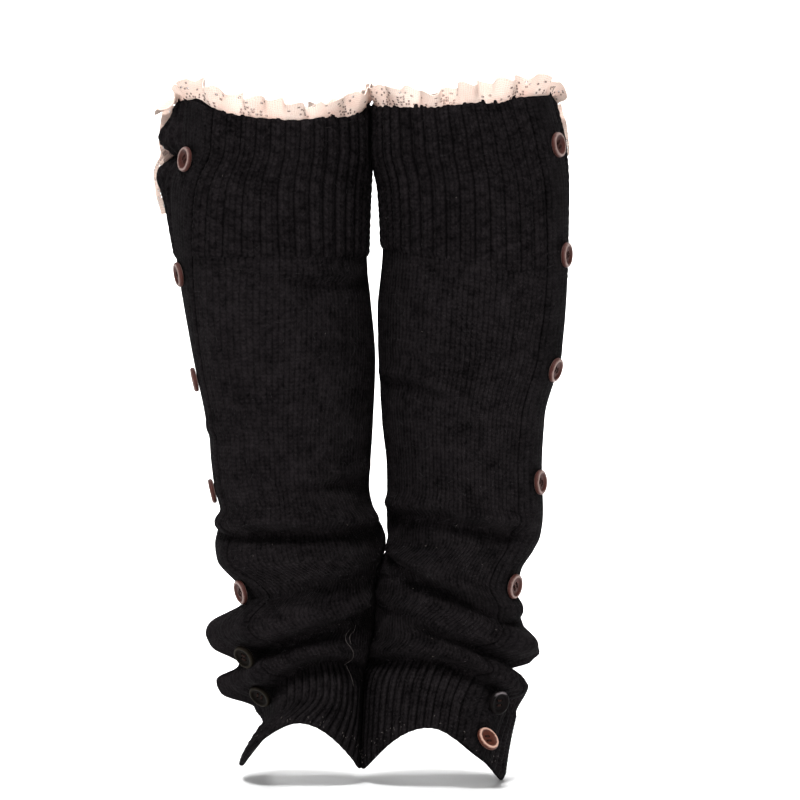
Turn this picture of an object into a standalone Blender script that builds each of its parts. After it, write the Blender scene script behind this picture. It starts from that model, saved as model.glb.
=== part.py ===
"""A pair of knitted boot cuffs, worn shape, hollow and open at both ends.

Metres, +Z up, the front of the cuffs towards -Y. The origin lies midway between the two cuffs at the
height of their top bands. The left cuff stands at -X and the right one at +X.

Each cuff is one soft tube of knit. A table of sections says where its outer, front, inner and back
points lie at each level, from the top edge through every fold to the hem, and a smooth ring runs
through those four points. The cloth pieces are cut from that tube: a cable-rib top band, a plain body
that slouches above the ankle and a ribbed ankle band. A button band lies on the outer side, and a
gathered lace ruffle stands on the top edge.
"""
import math

import bpy
import numpy as np
from mathutils import Vector
from mathutils.bvhtree import BVHTree

MM = 0.001

# Sizes of the cloth and its trims, in millimetres
BODY_WALL = 2.2
SEAM_GAP = 0.3
ANKLE_SEAM_GAP = 0.6
TOP_RIBS = 38
TOP_RIB_RISE = 1.3
BODY_FOLLOWS = 0.6
DRIFT_FADES_OVER = 3.0
DRIFT_SPREAD = 0.1
ANKLE_RIBS = 42
ANKLE_RIB_RISE = 0.9
RIB_SHARE_AT_ENDS = 0.4
BODY_CELLS = 29
BAND_CELLS = 3
BUTTON_BAND_WIDTH = 28.0
BUTTON_BAND_WALL = 2.0
CORNER_RISE = 3.6
CORNER_SPREAD = 18.0
CORNER_LAG = {"left": -18.0, "right": -4.0}
BUTTON_DIAMETER = 15.0
BUTTON_THICKNESS = 3.2
BUTTON_SIDES = 12
RAY_START = 40.0

# The rounded back of a button: shares of its radius, with the back's height there as a share of its
# thickness
BUTTON_BACK = ((0.0, 0.0), (0.35, 0.0), (0.70, 0.0), (0.85, 0.175), (1.0, 0.35))

# Sizes of the lace, in millimetres
LACE_HEIGHT = 12.5
LACE_WALL = 1.0
LACE_WAVES = 14
LACE_WAVE_POINTS = 6
LACE_WAVE_DEPTH = 4.2
LACE_UNEVENNESS = 0.7
LACE_LEAN = 0.22
LACE_SCALLOP = 1.3
LACE_FOOT_GAP = 0.5
TAIL_WAVE_DEPTH = 2.0
TAIL_WAVE_LENGTH = 15.0
TAIL_NARROWING = 0.45
TAIL_EVENS = 0.8
TAIL_CLEARANCE = 1.6
TAIL_ASIDE = 1.3

# Where the two cuffs press together, height against distance across, and the slope of that plane
CONTACT_GAP = 0.3
CONTACT_SLOPE = 0.12
CONTACT_HEIGHTS = (70, 20, -20, -200, -216, -226, -236, -249, -262, -273, -282, -291, -309, -333, -360)
CONTACT_ACROSS = (0.9, 0.9, 1.5, 9.6, 9.6, 6.0, 3.2, 3.9, 3.0, 2.2, 0.2, -3.0, -3.6, -4.2, -5.3)

# One row for each level of a cuff. Across columns are millimetres out from the plane between the
# cuffs, deep columns are millimetres back from the middle, up columns are heights, and the last is
# the direction of the button band in degrees round from the front.
SECTION_COLUMNS = ("outer_across", "outer_up", "front_deep", "front_up", "inner_across", "inner_up",
                   "back_deep", "back_up", "band_direction")
LEFT_SECTIONS = {
    "top edge": (115.5, 48, -58.0, 39, 0.5, 45, 58.0, 34, 48),
    "top band, upper": (117.5, 21, -59.5, 21, -0.5, 21, 60.0, 18, 48),
    "top band, lower": (121.5, -3, -60.0, -1, 1.6, -3, 60.0, -5, 54),
    "top band seam": (115.4, -44, -59.0, -41, 2.9, -43, 58.0, -44, 64),
    "calf, upper": (110.5, -69, -57.0, -66, 0.7, -69, 57.0, -69, 70),
    "calf, middle": (103.5, -105, -55.0, -102, -2.1, -105, 55.0, -105, 76),
    "calf, lower": (95.5, -144, -51.0, -141, -0.6, -144, 51.0, -144, 78),
    "shin": (91.0, -180, -48.0, -175, 1.5, -180, 49.0, -179, 79),
    "first ridge": (87.0, -196, -50.5, -198, -2.5, -198, 49.0, -198, 79),
    "first groove": (90.5, -209, -44.0, -206, -6.5, -206, 46.0, -208, 77),
    "second fold, top": (91.6, -215, -48.0, -212, -8.4, -213, 47.5, -214, 75),
    "second fold": (90.4, -224, -51.5, -221, -8.0, -221, 48.0, -222, 71),
    "second fold, foot": (80.0, -238, -49.5, -229, -5.5, -229, 45.0, -233, 60),
    "second groove": (76.0, -250, -45.0, -236, -4.2, -236, 42.0, -241, 52),
    "third fold": (98.6, -270, -53.0, -254, -5.4, -249, 48.0, -262, 44),
    "third groove": (79.0, -288, -43.0, -268, -3.8, -262, 41.0, -276, 41),
    "fourth fold": (92.0, -301, -48.5, -275, -4.0, -274, 44.0, -287, 43),
    "ankle seam": (70.0, -314, -41.0, -285, 2.0, -291, 39.0, -297, 47),
    "ankle": (63.5, -325, -46.0, -302, 3.0, -318, 41.0, -309, 52),
    "hem": (79.0, -348, -53.0, -316, 4.8, -350, 46.0, -316, 58),
}
RIGHT_SECTIONS = {
    "top edge": (108.5, 52, -58.0, 49, 0.8, 44, 58.0, 43, 54),
    "top band, upper": (115.0, 21, -59.5, 23, 0.6, 21, 60.0, 20, 56),
    "top band, lower": (116.3, -3, -60.0, 0, 5.8, -3, 60.0, -4, 60),
    "top band seam": (115.0, -58, -59.0, -45, 7.5, -38, 58.0, -47, 64),
    "calf, upper": (114.2, -78, -57.5, -74, 4.3, -76, 57.0, -76, 63),
    "calf, middle": (113.2, -99, -56.0, -98, 4.2, -100, 55.0, -99, 60),
    "calf, lower": (102.5, -138, -52.5, -136, 6.6, -138, 52.0, -138, 60),
    "shin": (101.0, -168, -49.5, -166, 9.9, -168, 49.0, -168, 59),
    "first ridge": (101.8, -194, -50.0, -190, 10.2, -188, 49.0, -192, 59),
    "first groove": (100.4, -209, -45.0, -202, 8.6, -200, 46.0, -205, 59),
    "second fold, top": (96.2, -218, -48.0, -211, 11.8, -216, 46.5, -214, 58),
    "second fold": (90.0, -229, -51.0, -223, 2.6, -228, 48.0, -224, 55),
    "second fold, foot": (87.2, -248, -49.5, -231, 1.6, -232, 46.0, -236, 53),
    "second groove": (92.0, -267, -44.0, -241, 2.4, -236, 42.0, -250, 55),
    "third fold": (101.0, -281, -51.0, -250, 2.4, -245, 47.0, -262, 53),
    "third groove": (82.5, -292, -43.0, -263, 2.0, -256, 41.0, -275, 51),
    "fourth fold": (94.0, -302, -47.5, -274, 0.6, -273, 44.0, -286, 49),
    "ankle seam": (87.0, -317, -41.0, -284, -3.4, -290, 39.0, -297, 45),
    "ankle": (82.5, -335, -47.0, -302, -4.4, -318, 42.0, -310, 38),
    "hem": (79.0, -357, -56.0, -318, -5.6, -350, 47.0, -318, 36),
}
LEVEL_NAMES = tuple(LEFT_SECTIONS)
SEAM_LEVEL = LEVEL_NAMES.index("top band seam")
ANKLE_LEVEL = LEVEL_NAMES.index("ankle seam")
HEM_LEVEL = LEVEL_NAMES.index("hem")
FOLDED_LEVEL = LEVEL_NAMES.index("second fold")

# How many levels each way a button's tilt is read over, on the folds and elsewhere
FOLDED_SPAN = 0.9
PLAIN_SPAN = 0.25

# Local bulges: level, direction in degrees, rise in millimetres, spread in levels, spread in degrees
BULGES = {
    "left": {
        "turned-out corner": (0.72, 92, 8.5, 0.34, 22),
        "nick under the corner": (1.16, 84, -6.0, 0.24, 30),
        "flap under the nick": (1.62, 95, 6.0, 0.40, 22),
        "pinch at the lower buttons": (15.2, 43, -6.0, 1.3, 20),
        "third fold, upper shoulder": (13.6, 92, 4.0, 0.25, 35),
        "third fold, lower shoulder": (14.5, 92, 4.5, 0.25, 35),
        "fourth fold, upper shoulder": (15.6, 90, 4.0, 0.25, 35),
        "fourth fold, lower shoulder": (16.5, 90, 5.0, 0.25, 35),
        "front crease by the knee": (3.7, -25, -1.3, 0.16, 34),
        "front crease at the shin": (7.0, -38, -1.6, 0.25, 30),
    },
    "right": {
        "front crease at the calf": (5.4, -30, -1.2, 0.20, 30),
        "front crease at the shin": (6.1, -8, -1.3, 0.25, 24),
        "pressed outer fold": (8.0, 25, -1.4, 0.35, 22),
        "third fold, lower shoulder": (14.6, 92, 5.0, 0.22, 35),
    },
}

# How the top edge strays from its four points: direction in degrees, lift and spread in degrees
EDGE_LIFTS = {
    "left": ((47, 2.6, 20), (-16, -1.2, 14), (-54, -3.4, 20), (-90, 1.5, 14)),
    "right": ((-84, 2.4, 12), (-18, -2.6, 26), (22, -2.6, 12), (96, -3.0, 14)),
}
EDGE_LIFT_FADES = 0.6

# The same for the hem
HEM_LIFTS = {
    "left": (),
    "right": ((32, -4.5, 18),),
}

# How the lace's height strays from its usual height, the same way
LACE_LIFTS = {
    "left": ((48, 2.6, 14), (-24, -4.6, 13), (-60, 1.0, 12), (86, -6.0, 22)),
    "right": ((-20, -3.6, 11), (25, 2.0, 9), (66, -1.2, 8), (92, -4.5, 15)),
}

# How far the lace's top edge is turned out beyond that, the same way
LACE_TURNS = {
    "left": ((86, 7.0, 22),),
    "right": ((92, 3.5, 15),),
}

# Height of each button's middle, and how far down and out the lace hangs beside the button band
BUTTON_HEIGHTS = {
    "left": (14.5, -52, -115, -182, -240, -274, -300),
    "right": (24, -41, -108, -176, -237, -306, -328),
}
LACE_TAILS = {
    "left": {"first_level": 0.2, "last_level": 2.35, "width": 9.5, "heading": 98},
    "right": {"first_level": 0.2, "last_level": 1.15, "width": 4.5, "heading": 97},
}

# Rows of the solids, as levels of the tables above
TOP_BAND_ROWS = (0.0, 0.75, 1.2, 1.6, 2.0, 2.4, 3.0)
BODY_ROWS = (3.0, 4.0, 5.0, 6.0, 7.0, 7.6, 8.3, 9.0, 9.6, 10.3, 11.0, 12.0, 12.6, 13.0, 13.35, 13.7, 14.3,
             14.65, 15.0, 15.35, 15.7, 16.3, 16.65, 17.0)
ANKLE_ROWS = (17.0, 17.6, 18.3, 19.0)

# Colours of the three materials
KNIT_BLACK = (0.010, 0.0095, 0.010, 1.0)
LACE_CREAM = (0.89, 0.80, 0.72, 1.0)
BUTTON_WOOD = (0.075, 0.028, 0.022, 1.0)


def smooth_rows(rows, place):
    """Values of a table between its rows, by a cubic that never passes a row's own values."""
    rows = np.asarray(rows, dtype=float)
    step = np.diff(rows, axis=0)
    same_way = step[:-1] * step[1:] > 0
    total = np.where(same_way, step[:-1] + step[1:], 1.0)
    slope = np.zeros_like(rows)
    slope[1:-1] = np.where(same_way, 2.0 * step[:-1] * step[1:] / total, 0.0)
    slope[0] = step[0]
    slope[-1] = step[-1]
    first = np.clip(np.floor(place).astype(int), 0, len(rows) - 2)
    t = (place - first)[..., None]
    start = (2 * t**3 - 3 * t**2 + 1) * rows[first] + (t**3 - 2 * t**2 + t) * slope[first]
    end = (3 * t**2 - 2 * t**3) * rows[first + 1] + (t**3 - t**2) * slope[first + 1]
    return start + end


def turn_between(direction, middle):
    """The signed angle from one direction to another, in radians."""
    return (direction - middle + math.pi) % (2 * math.pi) - math.pi


def hill(distance, spread):
    return np.exp(-(distance / spread) ** 2)


def lifted(direction, lifts):
    """The sum of the lifts of a table at these directions."""
    return sum((lift * hill(turn_between(direction, math.radians(heading)), math.radians(spread))
                for heading, lift, spread in lifts), 0.0)


class Cuff:
    """The plain tube of one cuff, before ribs, as points at a level and a direction round it."""

    def __init__(self, name, side, sections):
        self.name = name
        self.side = side
        self.sections = np.array(list(sections.values()), dtype=float)
        self.bulges = BULGES[name].values()

    def section(self, level):
        values = smooth_rows(self.sections, np.asarray(level, dtype=float))
        return dict(zip(SECTION_COLUMNS, np.moveaxis(values, -1, 0)))

    def point(self, level, direction):
        """Points in millimetres, one for each pair of a level and a direction in radians."""
        level, direction = np.broadcast_arrays(np.asarray(level, float), np.asarray(direction, float))
        at = self.section(level)
        sine = np.sin(direction)
        cosine = np.cos(direction)
        half_across = (at["outer_across"] - at["inner_across"]) / 2
        half_deep = (at["back_deep"] - at["front_deep"]) / 2
        across = (at["outer_across"] + at["inner_across"]) / 2 + half_across * sine
        deep = (at["back_deep"] + at["front_deep"]) / 2 - half_deep * cosine
        mean_up = (at["outer_up"] + at["front_up"] + at["inner_up"] + at["back_up"]) / 4
        twice = (at["front_up"] + at["back_up"] - at["outer_up"] - at["inner_up"]) / 4
        up = mean_up + (at["front_up"] - at["back_up"]) / 2 * cosine
        up = up + (at["outer_up"] - at["inner_up"]) / 2 * sine + twice * np.cos(2 * direction)
        up = up + lifted(direction, EDGE_LIFTS[self.name]) * hill(level, EDGE_LIFT_FADES)
        up = up + lifted(direction, HEM_LIFTS[self.name]) * hill(HEM_LEVEL - level, EDGE_LIFT_FADES)

        corner = np.radians(at["band_direction"] + CORNER_LAG[self.name])
        rise = CORNER_RISE * hill(turn_between(direction, corner), math.radians(CORNER_SPREAD))
        rise = rise + self.bulge(level, direction)
        across = self.side * (across + rise * sine)
        deep = deep - rise * cosine

        return self.kept_apart(np.stack([across, deep, up], axis=-1))

    def bulge(self, level, direction):
        """How far the local bulges move the cloth out."""
        rise = 0.0
        for middle, heading, height, levels, degrees in self.bulges:
            round_it = hill(turn_between(direction, math.radians(heading)), math.radians(degrees))
            rise = rise + height * round_it * hill(level - middle, levels)
        return rise

    def kept_apart(self, points):
        """The same points, flattened where they would pass the plane that parts the two cuffs."""
        order = np.argsort(CONTACT_HEIGHTS)
        heights = np.array(CONTACT_HEIGHTS)[order]
        plane = np.interp(points[..., 2], heights, np.array(CONTACT_ACROSS)[order])
        plane = plane + CONTACT_SLOPE * points[..., 1] + self.side * CONTACT_GAP / 2
        limit = np.minimum if self.side < 0 else np.maximum
        across = limit(points[..., 0], plane)
        return np.stack([across, points[..., 1], points[..., 2]], axis=-1)

    def normal(self, level, direction):
        """The way out of the cloth at each point."""
        step = 0.02
        round_it = self.point(level, direction + step) - self.point(level, direction - step)
        top = np.clip(np.asarray(level, float) - step, 0, HEM_LEVEL)
        foot = np.clip(np.asarray(level, float) + step, 0, HEM_LEVEL)
        down = self.point(foot, direction) - self.point(top, direction)
        out = self.side * np.cross(round_it, down)
        return -out / np.linalg.norm(out, axis=-1, keepdims=True)

    def moved_out(self, level, direction, distance):
        distance = np.asarray(distance, dtype=float)[..., None]
        return self.point(level, direction) + self.normal(level, direction) * distance

    def band_half_angle(self, level):
        at = self.section(level)
        girth = (at["outer_across"] - at["inner_across"] + at["back_deep"] - at["front_deep"]) / 4
        return BUTTON_BAND_WIDTH / 2 / girth

    def direction(self, level, place):
        """The direction of a knit column. Places -1 to 1 cross the button band, 1 to 2 run on round
        the back, the inner side and the front, to the button band's front edge."""
        level, place = np.broadcast_arrays(np.asarray(level, float), np.asarray(place, float))
        middle = np.radians(self.section(level)["band_direction"])
        half = self.band_half_angle(level)
        on_band = middle + half * place
        around = place - 1
        near_band = hill(around, DRIFT_SPREAD) + hill(1 - around, DRIFT_SPREAD)
        off_band = middle + half + around * (2 * math.pi - 2 * half)
        off_band = off_band - self.drift(level, middle) * (1 - near_band)
        return np.where(place <= 1, on_band, off_band)

    def drift(self, level, middle):
        """How far the button band has turned from where the knit's columns far from it stay."""
        home = np.radians(self.section(SEAM_LEVEL / 2)["band_direction"])
        follows = BODY_FOLLOWS * np.clip((level - SEAM_LEVEL) / DRIFT_FADES_OVER, 0, 1)
        return (middle - home) * (1 - follows)


def tube_places(cells, points_a_cell):
    """Places round a tube, from the button band's front edge, with the count in each cell."""
    band = np.linspace(-1, 1, BAND_CELLS + 1)[:-1]
    rest = 1 + np.arange(cells * points_a_cell) / (cells * points_a_cell)
    return np.concatenate([band, rest]), [1] * BAND_CELLS + [points_a_cell] * cells


def quad(a, b, c, d):
    return [(a, b, c), (a, c, d)]


def turned(faces):
    return [face[::-1] for face in faces]


def tube_solid(outer, inner, counts):
    """Triangles of a closed wall between an outer grid and an inner grid, rows then columns.
    Each inner point meets as many outer ones as its cell counts."""
    rows, wide = outer.shape[:2]
    narrow = inner.shape[1]
    offset = rows * wide
    faces = []
    for row in range(rows - 1):
        for col in range(wide):
            right = (col + 1) % wide
            top, foot = row * wide, (row + 1) * wide
            faces += quad(top + col, foot + col, foot + right, top + right)
        for col in range(narrow):
            right = (col + 1) % narrow
            top = offset + row * narrow
            faces += turned(quad(top + col, top + narrow + col, top + narrow + right, top + right))
    starts = np.concatenate([[0], np.cumsum(counts)])
    for col in range(narrow):
        right = (col + 1) % narrow
        for row, upward in ((0, True), (rows - 1, False)):
            inside = offset + row * narrow
            outside = row * wide
            fan = [outside + k % wide for k in range(starts[col], starts[col + 1] + 1)]
            rim = [(inside + col, a, b) for a, b in zip(fan, fan[1:])]
            rim.append((inside + col, fan[-1], inside + right))
            faces += rim if upward else turned(rim)
    points = np.concatenate([outer.reshape(-1, 3), inner.reshape(-1, 3)])
    return points, faces


def strip_solid(outer, inner):
    """Triangles of a closed strip between an outer and an inner grid of the same size."""
    rows, wide = outer.shape[:2]
    offset = rows * wide
    faces = []
    for row in range(rows - 1):
        for col in range(wide - 1):
            a, b = row * wide + col, (row + 1) * wide + col
            faces += quad(a, b, b + 1, a + 1)
            faces += turned(quad(offset + a, offset + b, offset + b + 1, offset + a + 1))
    for row in range(rows - 1):
        left, right = row * wide, row * wide + wide - 1
        faces += quad(left, offset + left, offset + left + wide, left + wide)
        faces += quad(right + wide, offset + right + wide, offset + right, right)
    foot = (rows - 1) * wide
    for col in range(wide - 1):
        faces += quad(col + 1, offset + col + 1, offset + col, col)
        faces += quad(foot + col, offset + foot + col, offset + foot + col + 1, foot + col + 1)
    return np.concatenate([outer.reshape(-1, 3), inner.reshape(-1, 3)]), faces


def material(name, colour, roughness):
    made = bpy.data.materials.new(name)
    made.use_nodes = True
    shader = made.node_tree.nodes["Principled BSDF"]
    shader.inputs["Base Color"].default_value = colour
    shader.inputs["Roughness"].default_value = roughness
    shader.inputs["Metallic"].default_value = 0.0
    return made


def add_object(name, points, faces, side, look):
    """One closed solid from points in millimetres. The left cuff's faces turn the other way."""
    if side < 0:
        faces = turned(faces)
    mesh = bpy.data.meshes.new(name)
    mesh.from_pydata((np.asarray(points) * MM).tolist(), [], faces)
    mesh.validate()
    mesh.shade_smooth()
    mesh.set_sharp_from_angle(angle=math.radians(50))
    mesh.materials.append(look)
    made = bpy.data.objects.new(name, mesh)
    bpy.context.scene.collection.objects.link(made)
    return made


def ribs(places, points_a_cell, rise):
    """How far each column of a ribbed tube is raised: grooves at cell edges, none by the band."""
    count = len(places) - BAND_CELLS
    inside_cell = np.arange(count) % points_a_cell
    raised = np.where(inside_cell > 0, rise, 0.0)
    return np.concatenate([np.zeros(BAND_CELLS), raised])


def cloth_tube(cuff, name, row_levels, cells, points_a_cell, rise, look, gap_above, gap_below):
    """A stretch of the cuff's tube as a solid wall, ribbed outside and plain inside."""
    places, counts = tube_places(cells, points_a_cell)
    inner_places = places[np.concatenate([[0], np.cumsum(counts)[:-1]])]
    level = np.array(row_levels)[:, None]
    raised = ribs(places, points_a_cell, rise)[None, :] + 0 * level
    raised[[0, -1]] *= RIB_SHARE_AT_ENDS
    outer = cuff.kept_apart(cuff.moved_out(level, cuff.direction(level, places[None, :]), raised))
    depth = np.full((len(row_levels), len(inner_places)), -BODY_WALL)
    inner = cuff.moved_out(level, cuff.direction(level, inner_places[None, :]), depth)
    for grid in (outer, inner):
        grid[0, :, 2] -= gap_above
        grid[-1, :, 2] += gap_below
    points, faces = tube_solid(outer, inner, counts)
    return add_object(f"{cuff.name}_{name}", points, faces, cuff.side, look)


def clear_of_facets(grid, distance, side):
    """The grid moved out so that each point lies at least this far above every facet it touches."""
    rows, wide = grid.shape[:2]
    touching = [[[] for _ in range(wide)] for _ in range(rows)]
    for row in range(rows - 1):
        for col in range(wide - 1):
            a, b = (row, col), (row + 1, col)
            c, d = (row + 1, col + 1), (row, col + 1)
            for corners in ((a, b, c), (a, c, d)):
                first, second, third = (grid[corner] for corner in corners)
                normal = side * np.cross(second - first, third - first)
                normal = normal / np.linalg.norm(normal)
                for corner in corners:
                    touching[corner[0]][corner[1]].append(normal)
    moved = grid.copy()
    for row in range(rows):
        for col in range(wide):
            normals = np.array(touching[row][col])
            out = normals.mean(axis=0)
            out = out / np.linalg.norm(out)
            moved[row, col] += out * distance / max(0.4, (normals @ out).min())
    return moved


def button_band(cuff, look):
    """The button band lies on the tube's own points in the band's cells, moved out."""
    levels = np.array(sorted(set(TOP_BAND_ROWS + BODY_ROWS + ANKLE_ROWS)))[:, None]
    places = np.linspace(-1, 1, BAND_CELLS + 1)[None, :]
    cloth = cuff.point(levels, cuff.direction(levels, places))
    inner = clear_of_facets(cloth, SEAM_GAP, cuff.side)
    outer = clear_of_facets(cloth, SEAM_GAP + BUTTON_BAND_WALL, cuff.side)
    points, faces = strip_solid(outer, inner)
    add_object(f"{cuff.name}_button_band", points, faces, cuff.side, look)
    return BVHTree.FromPolygons([Vector(point) for point in points], faces)


def button_mesh(look):
    """A turned wooden button with a raised rim and a dished face, its back on z = 0."""
    radius = BUTTON_DIAMETER / 2
    thick = BUTTON_THICKNESS
    profile = ((radius * BUTTON_BACK[2][0], 0.0), (radius, thick * BUTTON_BACK[-1][1]), (radius, thick * 0.72),
               (radius * 0.88, thick), (radius * 0.70, thick * 0.78))
    points = []
    faces = []
    for ring_radius, height in profile:
        for side in range(BUTTON_SIDES):
            turn = 2 * math.pi * side / BUTTON_SIDES
            points.append((ring_radius * math.cos(turn), ring_radius * math.sin(turn), height))
    for ring in range(len(profile) - 1):
        for side in range(BUTTON_SIDES):
            beside = (side + 1) % BUTTON_SIDES
            low, high = ring * BUTTON_SIDES, (ring + 1) * BUTTON_SIDES
            faces += quad(low + side, low + beside, high + beside, high + side)
    points.append((0, 0, 0))
    points.append((0, 0, thick * 0.62))
    last = (len(profile) - 1) * BUTTON_SIDES
    for side in range(BUTTON_SIDES):
        beside = (side + 1) % BUTTON_SIDES
        faces.append((len(points) - 2, beside, side))
        faces.append((len(points) - 1, last + side, last + beside))
    mesh = bpy.data.meshes.new("button")
    mesh.from_pydata((np.array(points) * MM).tolist(), [], faces)
    mesh.shade_smooth()
    mesh.set_sharp_from_angle(angle=math.radians(40))
    mesh.materials.append(look)
    return mesh


def level_at_height(cuff, height):
    """The level at which the middle of the button band has this height."""
    levels = np.linspace(0, HEM_LEVEL, 1901)
    heights = cuff.point(levels, cuff.direction(levels, 0.0))[:, 2]
    return float(levels[np.argmin(abs(heights - height))])


def add_buttons(cuff, band_tree, mesh):
    """Each button rests on the highest points of the button band under it. Rays shot back at the
    band from a plane in front of it find those points."""
    radius = BUTTON_DIAMETER / 2
    for number, height in enumerate(BUTTON_HEIGHTS[cuff.name], start=1):
        level = level_at_height(cuff, height)
        span = FOLDED_SPAN if level > FOLDED_LEVEL else PLAIN_SPAN
        spots = [cuff.point(level + along, cuff.direction(level + along, across))
                 for along, across in ((0, 0), (-span, 0), (span, 0), (0, -0.4), (0, 0.4))]
        down = Vector(spots[2] - spots[1])
        across = Vector(spots[4] - spots[3])
        out = (down.cross(across) * cuff.side).normalized()
        centre = Vector(spots[0])
        spin = down.normalized()
        beside = out.cross(spin)
        nearest = 2 * RAY_START
        for reach, back_height in BUTTON_BACK:
            for turn in np.arange(0, 2 * math.pi, math.pi / 12):
                outward = spin * math.cos(turn) + beside * math.sin(turn)
                start = centre + out * RAY_START + outward * radius * reach
                struck = band_tree.ray_cast(start, -out)
                if struck[3] is not None:
                    nearest = min(nearest, struck[3] + back_height * BUTTON_THICKNESS)
        made = bpy.data.objects.new(f"{cuff.name}_button_{number}", mesh)
        made.location = (centre + out * (RAY_START - nearest + SEAM_GAP)) * MM
        made.rotation_euler = out.to_track_quat("Z", "Y").to_euler()
        bpy.context.scene.collection.objects.link(made)


def grid_normals(points, closed):
    """Unit normals of a grid of rows and columns, from its own neighbours."""
    if closed:
        along = np.roll(points, -1, axis=1) - np.roll(points, 1, axis=1)
    else:
        along = np.gradient(points, axis=1)
    down = np.gradient(points, axis=0)
    out = np.cross(along, down)
    return out / np.linalg.norm(out, axis=-1, keepdims=True)


def lace_ruffle(cuff, look):
    """The gathered lace that stands on the top edge and leans out in waves."""
    columns = LACE_WAVES * LACE_WAVE_POINTS
    direction = (np.arange(columns) * 2 * math.pi / columns)[None, :]
    share = np.array([1.0, 0.5, 0.0])[:, None]
    foot = cuff.moved_out(0.0, direction, -BODY_WALL / 2 + 0 * direction)
    out = np.stack([cuff.side * np.sin(direction), -np.cos(direction), 0 * direction], axis=-1)
    phase = direction * LACE_WAVES + LACE_UNEVENNESS * np.sin(3 * direction) + cuff.side
    wave = LACE_WAVE_DEPTH * np.sin(phase) * share
    full_height = LACE_HEIGHT + LACE_SCALLOP * np.sin(2 * phase)
    full_height = full_height + lifted(direction, LACE_LIFTS[cuff.name])
    height = full_height * share + LACE_FOOT_GAP
    spread = LACE_LEAN * LACE_HEIGHT * share + wave + lifted(direction, LACE_TURNS[cuff.name]) * share**2
    grid = foot + out * spread[..., None]
    grid[..., 2] = foot[..., 2] + height
    for_contact = CONTACT_SLOPE * grid[..., 1] + CONTACT_ACROSS[0]
    for_contact = for_contact + cuff.side * (LACE_WALL + CONTACT_GAP) / 2
    limit = np.minimum if cuff.side < 0 else np.maximum
    grid[..., 0] = limit(grid[..., 0], for_contact)
    normal = -cuff.side * grid_normals(grid, closed=True)
    half = normal * LACE_WALL / 2
    points, faces = tube_solid(grid + half, grid - half, [1] * columns)
    return add_object(f"{cuff.name}_lace", points, faces, cuff.side, look)


def lace_tail(cuff, look):
    """The lace's end, turned down beside the button band's back edge, where it stands out."""
    tail = LACE_TAILS[cuff.name]
    direction = np.radians(tail["heading"])
    ends = cuff.point(np.array([tail["first_level"], tail["last_level"]]), direction)
    length = np.linalg.norm(ends[1] - ends[0])
    rows = 4 * max(2, round(length / TAIL_WAVE_LENGTH)) + 1
    share = np.linspace(0, 1, rows)[:, None]
    level = tail["first_level"] + share * (tail["last_level"] - tail["first_level"])
    stand = np.array([0.0, 0.5, 1.0])[None, :] * (1 - TAIL_NARROWING * share**2)
    ruffle = TAIL_WAVE_DEPTH * np.sin(2 * math.pi * share * length / TAIL_WAVE_LENGTH) * stand
    width = tail["width"] - TAIL_EVENS * cuff.bulge(level, direction)
    edge = cuff.moved_out(level + 0 * stand, direction, TAIL_CLEARANCE + width * stand)
    aside = cuff.point(level, direction + 0.05) - cuff.point(level, direction)
    aside = aside / np.linalg.norm(aside, axis=-1, keepdims=True)
    grid = edge + aside * (ruffle + TAIL_ASIDE)[..., None]
    half = grid_normals(grid, closed=False) * LACE_WALL / 2
    points, faces = strip_solid(grid - half, grid + half)
    return add_object(f"{cuff.name}_lace_tail", points, faces, 1, look)


def build_cuff(name, side, sections, knit, lace, button):
    cuff = Cuff(name, side, sections)
    half_gap = SEAM_GAP / 2
    half_ankle_gap = ANKLE_SEAM_GAP / 2
    cloth_tube(cuff, "top_band", TOP_BAND_ROWS, TOP_RIBS, 2, TOP_RIB_RISE, knit, 0.0, half_gap)
    cloth_tube(cuff, "body", BODY_ROWS, BODY_CELLS, 1, 0.0, knit, half_gap, half_ankle_gap)
    cloth_tube(cuff, "ankle_band", ANKLE_ROWS, ANKLE_RIBS, 2, ANKLE_RIB_RISE, knit, half_ankle_gap, 0.0)
    band_tree = button_band(cuff, knit)
    lace_ruffle(cuff, lace)
    lace_tail(cuff, lace)
    add_buttons(cuff, band_tree, button)


for old in list(bpy.data.objects):
    bpy.data.objects.remove(old)

KNIT = material("black knit", KNIT_BLACK, 0.95)
LACE = material("cream lace", LACE_CREAM, 0.85)
BUTTON = button_mesh(material("dark wood", BUTTON_WOOD, 0.45))
build_cuff("left", -1, LEFT_SECTIONS, KNIT, LACE, BUTTON)
build_cuff("right", 1, RIGHT_SECTIONS, KNIT, LACE, BUTTON)
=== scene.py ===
"""The look of a pair of knitted boot cuffs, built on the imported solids.

Sizes here are millimetres and become metres when a piece is made. Each cuff is one soft tube of knit.
A table of sections says where its outer, front, inner and back points lie at each level, and every
piece of cloth follows that tube: the cable-rib top band, the slouching body, the ribbed ankle band and
the button band. Lace stands on the top edge, and seven wooden buttons run down the outer side.
"""
import math

import bpy
import numpy as np
from mathutils import Matrix, Vector


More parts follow.
